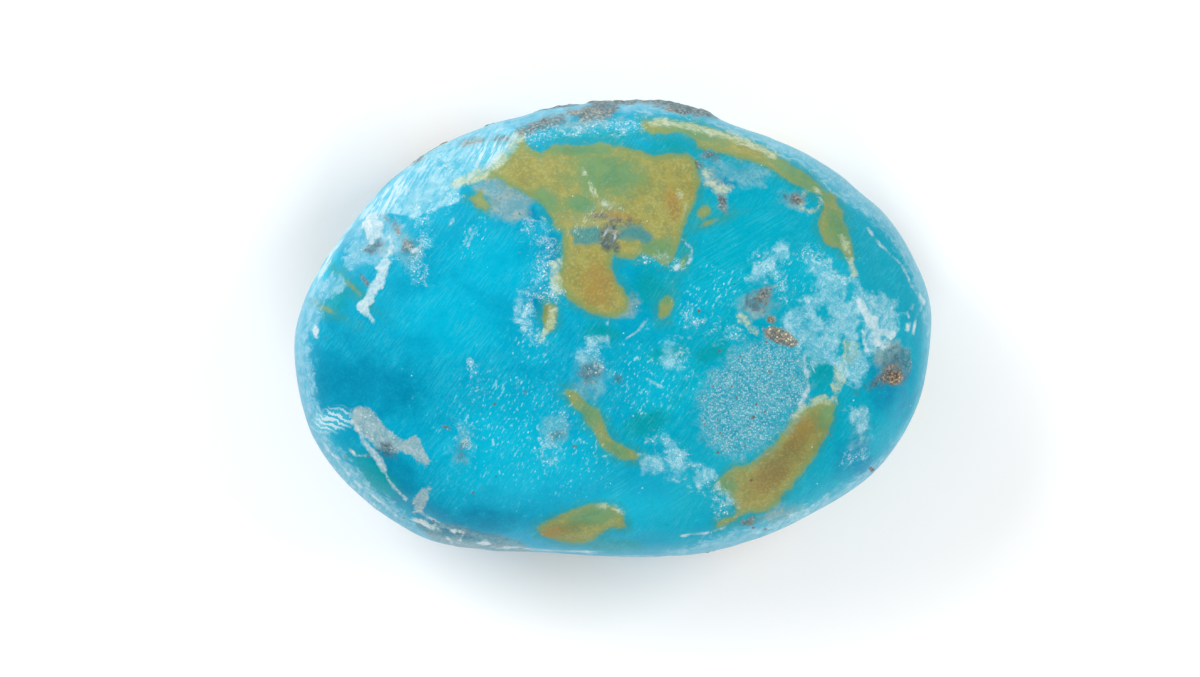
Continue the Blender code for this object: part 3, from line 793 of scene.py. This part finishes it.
# Each marking that isn't level: its depth, the depths where its edge starts and ends, how high
# it stands and how high its lumps are
RELIEF = [
    (rock, -0.15, 0.25, 0.035, 0.17),
    (gold, -0.10, 0.15, 0.05, 0.17),
    (patch(BUMP), -0.15, 0.30, 0.26, 0.0),
    (chalk, -0.10, 0.10, 0.03, 0.03),
    (quartz, -0.10, 0.20, -0.04, -0.04),
    (sugar, -0.20, 0.30, -0.03, -0.03),
    (white, -0.10, 0.10, -0.04, 0.0),
]


def ease(values, low, high):
    """Runs smoothly from 0 at low to 1 at high."""
    share = np.clip((values - low) / (high - low), 0, 1)
    return share * share * (3 - 2 * share)


rough = lumps(LUMPS_PER_MM, 4)
height = POLISH_WAVE * lumps(POLISH_PER_MM, 2)
for depth, start, end, rise, lump_height in RELIEF:
    height += ease(depth, start, end) * (rise + lump_height * rough)
chipped = np.maximum(ease(scuff, *SCUFF_EDGE), FILM_CHIPS * ease(film, *FILM_EDGE))
height -= CHIP_DEPTH * chipped * ease(lumps(CHIPS_PER_MM, 3), *CHIP_CUT)
height *= ease(points[:, 2], 0, BASE_FADE)

normals = np.empty(len(points) * 3, np.float32)
fine_mesh.vertex_normals.foreach_get("vector", normals)
moved = points + normals.reshape(-1, 3) * height[:, None]
moved[:, 2] = np.where(points[:, 2] < BASE_LEVEL, 0, np.maximum(moved[:, 2], 0))
fine_mesh.vertices.foreach_set("co", (moved * MM).astype(np.float32).ravel())
fine_mesh.shade_smooth()
fine_mesh.update()
print("relief from", round(height.min(), 3), "to", round(height.max(), 3), "mm")

# %% [markdown]
# ## Grit
#
# How rough each mineral feels is one more number per point. The material turns it into a fine
# bump: coarse on the rock and the gold, finer on sugar, chalk and scuffs, and hardly any on the
# polish.

# %% How gritty each place is
GRIT_OF_ALL = 0.004
GRIT_OF_CHIPS = 0.020
# Depth, the depths where the edge starts and ends, height of the grit
GRIT = [
    (rock, -0.1, 0.1, 0.060), (gold, -0.1, 0.1, 0.060), (sugar, -0.2, 0.3, 0.026),
    (chalk, -0.1, 0.1, 0.020), (quartz, -0.1, 0.1, 0.006),
]

minerals = together(*[size * ease(depth, start, end) for depth, start, end, size in GRIT])
keep("grit", GRIT_OF_ALL + np.maximum(minerals, GRIT_OF_CHIPS * chipped))

# %% [markdown]
# ## Shader tools
#
# The material is built from a few small tools: one makes a node and fills its inputs, the others
# do sums, smooth steps and colour blends. A plain number or colour goes straight on the socket.

# %% Shader tools
def feed(tree, socket, value):
    """Links another node's output to a socket, or sets the socket to a plain value."""
    if isinstance(value, bpy.types.NodeSocket):
        tree.links.new(value, socket)
    else:
        socket.default_value = value


def add_node(tree, kind, inputs=None, **settings):
    """Adds a shader node. Its inputs are given by name or by number."""
    made = tree.nodes.new("ShaderNode" + kind)
    for name, value in settings.items():
        setattr(made, name, value)
    for name, value in (inputs or {}).items():
        feed(tree, made.inputs[name], value)
    return made


def calc(tree, operation, first, second=0.0, third=0.0):
    """One sum of up to three values."""
    return add_node(
        tree, "Math", {0: first, 1: second, 2: third}, operation=operation
    ).outputs[0]


def step(tree, value, low, high):
    """Runs smoothly from 0 at low to 1 at high."""
    inputs = {"Value": value, "From Min": low, "From Max": high}
    return add_node(tree, "MapRange", inputs, interpolation_type="SMOOTHSTEP").outputs[0]


def mix_values(tree, share, first, second):
    """The first value where the share is 0, the second where it is 1."""
    return add_node(tree, "Mix", {0: share, 2: first, 3: second}).outputs[0]


def mix_colours(tree, share, first, second):
    """The first colour where the share is 0, the second where it is 1."""
    return add_node(tree, "Mix", {0: share, 6: first, 7: second}, data_type="RGBA").outputs[2]


def place_mm(tree):
    """The place on the stone, in millimetres."""
    place = add_node(tree, "TexCoord").outputs["Object"]
    return add_node(
        tree, "VectorMath", {0: place, "Scale": 1 / MM}, operation="SCALE"
    ).outputs[0]


def fractal(tree, place, grain, detail=3.0, roughness=0.55):
    """Cloudy noise with that many lumps per millimetre, mostly 0.3 to 0.7."""
    inputs = {"Vector": place, "Scale": grain, "Detail": detail, "Roughness": roughness}
    return add_node(tree, "TexNoise", inputs).outputs[0]


def shifted(tree, place, amount):
    """The same place moved aside, so that a second noise differs from the first."""
    return add_node(tree, "VectorMath", {0: place, 1: (amount, amount, amount)}).outputs[0]


# The lamps are bright enough to burn the white card out, so the stone's colours are darker
# than they look in the picture, by this much
DIMMED = 0.73


def linear(red, green, blue):
    """A colour seen in the picture, each part 0 to 255, as the light that a shader takes."""
    parts = [c / 255 for c in (red, green, blue)]
    light = [c / 12.92 if c < 0.04045 else ((c + 0.055) / 1.055) ** 2.4 for c in parts]
    return (*[DIMMED * part for part in light], 1)


def new_group(name, inputs, outputs):
    """An empty node group. A colour input has a colour as its usual value."""
    tree = bpy.data.node_groups.new(name, "ShaderNodeTree")
    for label, usual in inputs.items():
        kind = "NodeSocketColor" if isinstance(usual, tuple) else "NodeSocketFloat"
        tree.interface.new_socket(label, in_out="INPUT", socket_type=kind).default_value = usual
    for label, kind in outputs.items():
        tree.interface.new_socket(label, in_out="OUTPUT", socket_type="NodeSocket" + kind)
    return tree, tree.nodes.new("NodeGroupInput").outputs, tree.nodes.new("NodeGroupOutput").inputs


def use_group(tree, name, inputs):
    """Adds a node group to a material and gives its outputs."""
    holder = tree.nodes.new("ShaderNodeGroup")
    holder.node_tree = bpy.data.node_groups[name]
    for label, value in inputs.items():
        feed(tree, holder.inputs[label], value)
    return holder.outputs


# %% [markdown]
# ## Worn edges
#
# No marking in stone has a smooth outline. This group takes the depth inside a marking, shakes
# it with noise, and cuts it at zero. A second noise thins the marking in places, so that what
# lies under it shows through, as it does in a thin film of mineral.

# %% Node group: worn edge
tree, given, result = new_group(
    "worn_edge",
    {"Depth": 0.0, "Noise": 0.5, "Raggedness": 0.3, "Softness": 0.05, "Other noise": 0.5,
     "Patchiness": 0.0},
    {"Mask": "Float"},
)
shake = calc(tree, "MULTIPLY", calc(tree, "SUBTRACT", given["Noise"], 0.5), given["Raggedness"])
shaken = calc(tree, "MULTIPLY_ADD", shake, 2.0, given["Depth"])
soft = calc(tree, "MULTIPLY", given["Softness"], -1.0)
edge = step(tree, shaken, soft, given["Softness"])
worn_through = calc(
    tree, "MULTIPLY", step(tree, given["Other noise"], 0.60, 0.40), given["Patchiness"]
)
feed(tree, result["Mask"], calc(tree, "MULTIPLY", edge, calc(tree, "SUBTRACT", 1.0, worn_through)))

# %% [markdown]
# ## Mottled colour
#
# Each mineral has three tones: a main one, a second that drifts through it in soft clouds, and
# a third that comes as fine grain.

# %% Node group: three tones
tree, given, result = new_group(
    "three_tones",
    {"Main": WHITE, "Cloud": WHITE, "Grain": WHITE, "Cloud noise": 0.5, "Grain noise": 0.5},
    {"Colour": "Color"},
)
clouds = step(tree, given["Cloud noise"], 0.38, 0.62)
grains = calc(tree, "MULTIPLY", step(tree, given["Grain noise"], 0.46, 0.68), 0.8)
drifting = mix_colours(tree, clouds, given["Main"], given["Cloud"])
feed(tree, result["Colour"], mix_colours(tree, grains, drifting, given["Grain"]))

# %% [markdown]
# ## Strokes
#
# Grinding leaves parallel scratches, and short white strokes where the stone bruised. Both come
# from noise that is stretched along one direction and cut off near its top.

# %% Node group: strokes
tree, given, result = new_group(
    "strokes",
    {"Direction": 0.0, "Per mm": 8.0, "Stretch": 8.0, "Cut": 0.6},
    {"Mask": "Float"},
)
back_turn = calc(tree, "MULTIPLY", given["Direction"], -1.0)
turned = add_node(
    tree, "VectorRotate", {"Vector": place_mm(tree), "Angle": back_turn}, rotation_type="Z_AXIS"
).outputs[0]
along = calc(tree, "DIVIDE", given["Per mm"], given["Stretch"])
scales = add_node(tree, "CombineXYZ", {"X": along, "Y": given["Per mm"], "Z": along}).outputs[0]
stretched = add_node(tree, "VectorMath", {0: turned, 1: scales}, operation="MULTIPLY").outputs[0]
streaks = fractal(tree, stretched, 1.0, 2.0, 0.6)
highest = calc(tree, "ADD", given["Cut"], 0.10)
feed(tree, result["Mask"], step(tree, streaks, given["Cut"], highest))

# %% [markdown]
# ## Specks
#
# Small round grains are scattered by cell noise: each cell is one grain, and only a share of the
# cells shows. Rust-brown specks, dark pits, bright glints and gold grains all use this group.
# Stretched along the grinding direction, the grains turn into the short strokes of bruises.
# Crumbs fill every cell, each with its own brightness. Sugar, the films and the chips in scuffs
# are crumbs.

# %% Node group: specks
DASH_TURN = math.radians(64)

tree, given, result = new_group(
    "specks", {"Per mm": 1.0, "Share": 0.1, "Size": 0.3, "Stretch": 1.0}, {"Mask": "Float"}
)
turned = add_node(
    tree, "VectorRotate", {"Vector": place_mm(tree), "Angle": -DASH_TURN}, rotation_type="Z_AXIS"
).outputs[0]
scales = add_node(
    tree, "CombineXYZ", {"X": calc(tree, "DIVIDE", 1.0, given["Stretch"]), "Y": 1.0, "Z": 1.0}
).outputs[0]
turned = add_node(tree, "VectorMath", {0: turned, 1: scales}, operation="MULTIPLY").outputs[0]
cells = add_node(tree, "TexVoronoi", {"Vector": turned, "Scale": given["Per mm"]})
cell_number = add_node(tree, "SeparateColor", {0: cells.outputs["Color"]}).outputs[0]
chosen = calc(tree, "LESS_THAN", cell_number, given["Share"])
smaller = calc(tree, "MULTIPLY", given["Size"], 0.6)
round_grain = step(tree, cells.outputs["Distance"], given["Size"], smaller)
feed(tree, result["Mask"], calc(tree, "MULTIPLY", chosen, round_grain))

# %% Node group: crumbs
tree, given, result = new_group("crumbs", {"Per mm": 8.0, "Size": 0.5}, {"Mask": "Float"})
cells = add_node(tree, "TexVoronoi", {"Vector": place_mm(tree), "Scale": given["Per mm"]})
cell_number = add_node(tree, "SeparateColor", {0: cells.outputs["Color"]}).outputs[0]
brightness = step(tree, cell_number, 0.15, 0.95)
round_crumb = step(tree, cells.outputs["Distance"], given["Size"], 0.1)
feed(tree, result["Mask"], calc(tree, "MULTIPLY", brightness, round_crumb))

# %% [markdown]
# ## Four noises
#
# Now the material itself. Four noises of different size shape everything on the stone: drifting
# clouds, lumps, swirls and fine grain. The markings lie apart from each other, so that they can
# share these four, and the render stays quick.

# %% Start the material
material = bpy.data.materials.new("raw_turquoise")
material.use_nodes = True
tree = material.node_tree
shader = tree.nodes["Principled BSDF"]
place = place_mm(tree)


def depth_of(name):
    """One of the numbers that were stored on the skin."""
    return add_node(tree, "Attribute", attribute_name=name).outputs["Fac"]


def times(first, second):
    """Two masks multiplied, or one mask made weaker or stronger."""
    return calc(tree, "MULTIPLY", first, second)


def shaken(depth, noise_value, amount):
    """A depth pushed up and down by noise."""
    return calc(tree, "MULTIPLY_ADD", calc(tree, "SUBTRACT", noise_value, 0.5), amount, depth)


def over(under, paint, mask, cover=1.0):
    """Paint laid over a colour where the mask is. The cover says how well it hides the colour."""
    return mix_colours(tree, times(mask, cover), under, paint)


drift = fractal(tree, place, 0.5, 5.0, 0.62)
lumpy = fractal(tree, shifted(tree, place, 31.0), 1.5, 5.0, 0.62)
swirls = add_node(
    tree, "TexNoise",
    {"Vector": place, "Scale": 1.9, "Detail": 5.0, "Roughness": 0.66, "Distortion": 0.9},
).outputs[0]
fine_grain = fractal(tree, shifted(tree, place, 17.0), 7.5, 2.0, 0.6)
NOISES = {"drift": drift, "lumps": lumpy, "swirls": swirls}

# %% [markdown]
# ## The blue
#
# From the bottom up, the blue comes first. It drifts between a bright, a middle and a deep tone.
# The right half leans to green, and so do a few places near the rim.

# %% The blue of the stone
MIDDLE_BLUE = linear(0, 164, 200)
BRIGHT_BLUE = linear(0, 184, 218)
DEEP_BLUE = linear(0, 138, 176)
GREENISH_BLUE = linear(0, 168, 190)
TEAL = linear(4, 156, 168)
STAINED = linear(50, 152, 148)
PALE_BLUE = linear(10, 200, 228)

tone = shaken(depth_of("tone"), drift, 2.0)
colour = over(MIDDLE_BLUE, BRIGHT_BLUE, step(tree, tone, 0.0, 0.9))
to_right = shaken(add_node(tree, "SeparateXYZ", {0: place}).outputs["X"], drift, 14.0)
colour = over(colour, GREENISH_BLUE, step(tree, to_right, -2.0, 6.0), 0.75)
colour = over(colour, DEEP_BLUE, step(tree, tone, 0.0, -0.9))
greener = shaken(depth_of("teal"), drift, 1.4)
colour = over(colour, TEAL, step(tree, greener, 0.15, 0.95))
colour = over(colour, PALE_BLUE, step(tree, lumpy, 0.35, 0.75), 0.16)
colour = over(colour, PALE_BLUE, step(tree, fine_grain, 0.40, 0.72), 0.16)
colour = over(colour, DEEP_BLUE, step(tree, fine_grain, 0.48, 0.26), 0.22)
stain = shaken(depth_of("host"), swirls, 1.2)
colour = over(colour, STAINED, step(tree, stain, -0.50, 0.05), 0.70)

# %% [markdown]
# ## The host rock's colour
#
# The ochre turns green where it thins out over the turquoise, and rusty where iron stained it.
# It is thinnest along its edge, so the edge leans to green everywhere.

# %% Ochre, green and rust
OCHRE = [(172, 166, 84), (158, 150, 74), (184, 180, 108)]
MOSS = [(104, 150, 100), (130, 160, 94), (114, 160, 118)]
RUST = [(176, 144, 66), (154, 126, 60), (186, 160, 86)]
DARK_OLIVE = linear(92, 84, 44)


def mottled(tones, cloud_noise):
    """One colour from three tones of a mineral, each given as red, green and blue, 0 to 255."""
    main, cloud, grain = [linear(*seen) for seen in tones]
    inputs = {"Main": main, "Cloud": cloud, "Grain": grain}
    inputs |= {"Cloud noise": cloud_noise, "Grain noise": fine_grain}
    return use_group(tree, "three_tones", inputs)["Colour"]


host_depth = depth_of("host")
stained = shaken(depth_of("green"), lumpy, 1.6)
thin = times(step(tree, host_depth, 0.45, 0.0), 0.75)
mossy = calc(tree, "MAXIMUM", step(tree, stained, 0.0, 0.9), thin)
rusty = shaken(depth_of("rust"), swirls, 1.6)
host_colour = over(mottled(OCHRE, lumpy), mottled(MOSS, lumpy), mossy)
host_colour = over(host_colour, mottled(RUST, drift), step(tree, rusty, 0.1, 0.9), 0.85)
host_colour = over(host_colour, DARK_OLIVE, step(tree, tone, 0.0, -1.0), 0.42)

# %% [markdown]
# ## The other minerals
#
# The rest are all laid on in the same way, so one table holds them: how ragged and soft each
# marking's edge is, how patchy it is, how well it covers what lies under it, how rough it is and
# its three tones. They go on in this order, from clouds under the polish to white lines on top.
# The host rock has no tones here, because its colour is mixed already.

# %% Mineral layers
# Name: edge noise, raggedness, softness, patchiness, cover, roughness, three tones
LAYERS = {
    "cloud": ("lumps", 0.70, 0.30, 0.35, 0.84, 0.40,
              [(140, 164, 162), (174, 184, 176), (122, 152, 152)]),
    "haze": ("lumps", 0.80, 0.30, 0.35, 0.80, 0.40,
             [(94, 164, 182), (136, 190, 202), (76, 152, 172)]),
    # Frost and the rim below are pale partly from grinding and partly as painted sheen.
    "frost": ("lumps", 0.16, 0.07, 0.30, 0.84, 0.50,
              [(104, 200, 228), (164, 224, 240), (96, 196, 226)]),
    "rim": ("swirls", 0.60, 0.20, 0.55, 0.84, 0.50,
            [(118, 196, 222), (166, 212, 230), (112, 192, 220)]),
    "host": ("lumps", 0.24, 0.09, 0.0, 0.97, 0.42, None),
    "quartz": ("swirls", 0.34, 0.08, 0.15, 0.92, 0.28,
               [(172, 196, 198), (138, 172, 180), (194, 210, 210)]),
    "sugar": ("swirls", 1.30, 0.45, 0.45, 0.62, 0.45,
              [(84, 172, 192), (140, 198, 206), (84, 166, 188)]),
    "cream": ("swirls", 0.40, 0.12, 0.45, 0.84, 0.45,
              [(184, 200, 156), (212, 220, 190), (170, 190, 140)]),
    "film": ("lumps", 0.90, 0.22, 0.60, 0.78, 0.50,
             [(112, 200, 224), (172, 224, 238), (104, 194, 220)]),
    "gap": ("lumps", 0.40, 0.18, 0.0, 0.92, 0.35,
            [(66, 146, 152), (92, 154, 146), (56, 132, 146)]),
    "glass": ("lumps", 0.25, 0.08, 0.25, 0.88, 0.25,
              [(62, 120, 136), (112, 158, 168), (38, 90, 108)]),
    "smoke": ("swirls", 0.60, 0.20, 0.25, 0.88, 0.45,
              [(78, 104, 116), (58, 78, 92), (112, 132, 142)]),
    "rock": ("swirls", 0.42, 0.14, 0.30, 0.90, 0.80,
             [(130, 120, 108), (92, 80, 70), (188, 182, 172)]),
    "brown": ("lumps", 0.10, 0.04, 0.0, 0.92, 0.60,
              [(124, 86, 64), (94, 64, 50), (150, 116, 88)]),
    "gold": ("lumps", 0.30, 0.08, 0.10, 0.92, 0.45,
             [(146, 124, 100), (110, 84, 66), (208, 186, 150)]),
    "chalk": ("lumps", 0.30, 0.07, 0.25, 0.88, 0.50,
              [(196, 226, 234), (236, 246, 248), (180, 216, 226)]),
    "white": ("lumps", 0.20, 0.06, 0.50, 0.80, 0.35,
              [(206, 224, 226), (232, 242, 242), (186, 212, 218)]),
}
POLISHED = 0.34

roughness = POLISHED
masks = {}
for name, (noise_name, ragged, softness, patchy, cover, rough_to, tones) in LAYERS.items():
    mask = use_group(
        tree, "worn_edge",
        {"Depth": depth_of(name), "Noise": NOISES[noise_name], "Raggedness": ragged,
         "Softness": softness, "Other noise": swirls, "Patchiness": patchy},
    )["Mask"]
    mask = times(mask, cover)
    masks[name] = mask
    layer_colour = mottled(tones, lumpy) if tones else host_colour
    colour = over(colour, layer_colour, mask)
    roughness = mix_values(tree, mask, roughness, rough_to)

# %% [markdown]
# ## Scratches, ribs and chips
#
# Fine scratches from the grinding wheel cover the face, steep in most places and nearly level in
# two. Frost, film and rim were only brushed, so they carry white streaks, and in flecked places
# lie short white strokes. The streaks are painted whiter where the tone is bright, which on the
# flat at the upper left gives painted highlights. The combed patch has white ribs about a quarter
# of a millimetre apart: the sine of the place across them gives the ribs, bent by a little noise.
# Scuffs are full of bright chips.

# %% Scratches, ribs and chips
STEEP = math.radians(54)
BRUSHED = math.radians(60)
LEVEL = math.radians(32)
RIBS_PER_MM = 3.5
RIB_DIRECTION = (0.42, 1.0, 0.0)
RIB_BEND = 0.9
PALE_SCRATCH = linear(96, 210, 230)
FLECK = linear(170, 232, 244)
HOST_FLECK = linear(226, 222, 184)
WHITE_STROKE = linear(220, 240, 244)
RIB_WHITE = linear(214, 238, 244)


def strokes(direction, per_mm, stretch, cut):
    """Marks that all run one way."""
    inputs = {"Direction": direction, "Per mm": per_mm, "Stretch": stretch, "Cut": cut}
    return use_group(tree, "strokes", inputs)["Mask"]


on_level = step(tree, depth_of("level"), 0.2, 0.7)
scratches = mix_values(
    tree, on_level, strokes(STEEP, 13.0, 9.0, 0.50), strokes(LEVEL, 9.0, 14.0, 0.50)
)
scratches = times(scratches, step(tree, drift, 0.34, 0.62))
scratches = times(scratches, step(tree, tone, -0.8, 0.1))
off_host = calc(tree, "MULTIPLY_ADD", masks["host"], -0.7, 1.0)
scratches = times(scratches, off_host)
colour = over(colour, PALE_SCRATCH, scratches, 0.16)

unpolished = calc(tree, "MAXIMUM", masks["frost"], times(masks["film"], 0.4))
unpolished = calc(tree, "MAXIMUM", unpolished, times(masks["rim"], 0.4))
# Painted highlight: the white streaks are whitest where the tone is bright.
painted_shine = calc(tree, "MULTIPLY_ADD", step(tree, tone, 0.0, 0.9), 0.7, 0.3)
brushed = times(strokes(BRUSHED, 6.0, 8.0, 0.45), unpolished)
colour = over(colour, WHITE_STROKE, times(brushed, painted_shine))

flecked = step(tree, shaken(depth_of("flecked"), lumpy, 2.0), 0.15, 0.95)
hazy = times(times(flecked, 0.22), off_host)
colour = over(colour, PALE_BLUE, hazy)
clusters = calc(tree, "MULTIPLY_ADD", step(tree, swirls, 0.38, 0.58), 0.6, 0.4)
flecks = times(strokes(BRUSHED, 8.0, 2.2, 0.58), clusters)
flecks = times(flecks, flecked)
fleck_colour = mix_colours(tree, masks["host"], FLECK, HOST_FLECK)
colour = over(colour, fleck_colour, flecks, 0.78)

across = add_node(tree, "VectorMath", {0: place, 1: RIB_DIRECTION}, operation="DOT_PRODUCT")
across = calc(tree, "MULTIPLY_ADD", lumpy, RIB_BEND, across.outputs["Value"])
ribs = calc(tree, "SINE", times(across, RIBS_PER_MM * 2 * math.pi))
in_combed = step(tree, depth_of("combed"), -0.1, 0.4)
ribs = times(step(tree, ribs, -0.2, 0.5), in_combed)
colour = over(colour, PALE_SCRATCH, in_combed, 0.35)
colour = over(colour, RIB_WHITE, ribs, 0.80)

near_scuff = step(tree, shaken(depth_of("scuff"), swirls, 3.0), -0.25, 0.45)
crumbs = use_group(tree, "crumbs", {"Per mm": 12.0, "Size": 0.78})["Mask"]
crumbly = calc(tree, "MAXIMUM", masks["film"], times(masks["cream"], 0.7))
crumbly = times(crumbly, crumbs)
colour = over(colour, WHITE_STROKE, crumbly, 0.75)
crackle = calc(tree, "ABSOLUTE", calc(tree, "SUBTRACT", lumpy, 0.5))
crackle = times(step(tree, crackle, 0.030, 0.008), 0.6)
chips = times(calc(tree, "MAXIMUM", crumbs, crackle), near_scuff)
chips = times(chips, step(tree, swirls, 0.40, 0.56))
colour = over(colour, PALE_SCRATCH, near_scuff, 0.14)
colour = over(colour, WHITE_STROKE, chips, 0.80)

# %% [markdown]
# ## Grains and glints
#
# Last come the smallest things: white sugar grains with blue gaps in the sugary patch, rust
# specks in it and scattered over the stone, dark pits, and bright points where a crystal face
# catches the light. The sugar grains are partly painted sparkle, and the blue gaps between them
# partly painted shade. Gold grains sparkle in the rubble, and the flecked places hold pale dashes.

# %% Grains and glints
SUGAR_GRAIN_AND_SPARKLE = linear(206, 232, 236)
SUGAR_GAP_AND_SHADE = linear(6, 138, 172)

in_sugar = step(tree, shaken(depth_of("sugar"), swirls, 1.8), -0.35, 0.55)
in_sugar = times(in_sugar, calc(tree, "SUBTRACT", 1.0, masks["brown"]))
# Painted sparkle and shade: the white grains are partly painted glints, the blue gaps partly
# painted shade between grains.
sugar_grains_and_sparkle = times(crumbs, in_sugar)
sugar_gaps_and_shade = times(step(tree, fine_grain, 0.52, 0.40), in_sugar)
colour = over(colour, SUGAR_GAP_AND_SHADE, sugar_gaps_and_shade, 0.55)
colour = over(colour, SUGAR_GRAIN_AND_SPARKLE, sugar_grains_and_sparkle, 0.80)

# Rows two and five, white in the quartz and bright points over the whole stone, are painted
# glints.
# Per mm, share of the cells, size in cells, stretch, cover, colour, only where
SPECKS = [
    (3.2, 0.22, 0.20, 1.5, 0.85, (140, 96, 68), in_sugar),
    (6.0, 0.12, 0.32, 1.0, 0.80, (238, 246, 246), masks["quartz"]),
    (0.8, 0.20, 0.085, 1.0, 0.85, (128, 88, 66), None),
    (1.3, 0.14, 0.055, 1.0, 0.80, (24, 64, 70), None),
    (2.0, 0.12, 0.08, 1.0, 0.90, (232, 246, 250), None),
    (6.0, 0.45, 0.36, 1.0, 0.90, (244, 226, 186), step(tree, depth_of("gold"), -0.1, 0.1)),
    (5.0, 0.30, 0.30, 1.0, 0.90, (240, 248, 250), near_scuff),
    (4.4, 0.22, 0.14, 2.4, 0.90, (214, 240, 246), flecked),
]
for per_mm, share, size, stretch, cover, seen, where in SPECKS:
    inputs = {"Per mm": per_mm, "Share": share, "Size": size, "Stretch": stretch}
    speck = times(use_group(tree, "specks", inputs)["Mask"], cover)
    if where is not None:
        speck = times(speck, where)
    colour = over(colour, linear(*seen), speck)

# %% [markdown]
# ## Surface
#
# The polish is waxy, not glassy: middling roughness, a little lower where it was rubbed most.
# The bump has three parts in true millimetres: a slow wave left by the polish, the scratches,
# and grit, which stands high on rock and grains and is nearly absent on the polished blue.

# %% Finish the material
WAX_REFLECTION = 0.24
WAVE_HEIGHT = 0.010
SCRATCH_DEPTH = 0.003
# Wax over blue mirrors blue from above, and white only at a glancing angle
SHEEN = (0.12, 0.75, 0.90, 1)

grit_noise = fractal(tree, place, 5.0, 3.0, 0.65)
fine_height = times(grit_noise, depth_of("grit"))
fine_height = calc(tree, "MULTIPLY_ADD", lumpy, WAVE_HEIGHT, fine_height)
fine_height = calc(tree, "MULTIPLY_ADD", scratches, -SCRATCH_DEPTH, fine_height)
bump = add_node(tree, "Bump", {"Height": fine_height, "Distance": MM}).outputs["Normal"]
roughness = calc(tree, "MULTIPLY_ADD", step(tree, lumpy, 0.35, 0.65), 0.08, roughness)
feed(tree, shader.inputs["Base Color"], colour)
feed(tree, shader.inputs["Roughness"], roughness)
feed(tree, shader.inputs["Normal"], bump)
shader.inputs["Specular IOR Level"].default_value = WAX_REFLECTION
shader.inputs["Specular Tint"].default_value = SHEEN
fine_mesh.materials.clear()
fine_mesh.materials.append(material)
print("material", len(tree.nodes), "nodes")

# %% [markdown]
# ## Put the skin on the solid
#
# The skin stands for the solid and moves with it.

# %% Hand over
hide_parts("nugget")
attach(skin, "root")
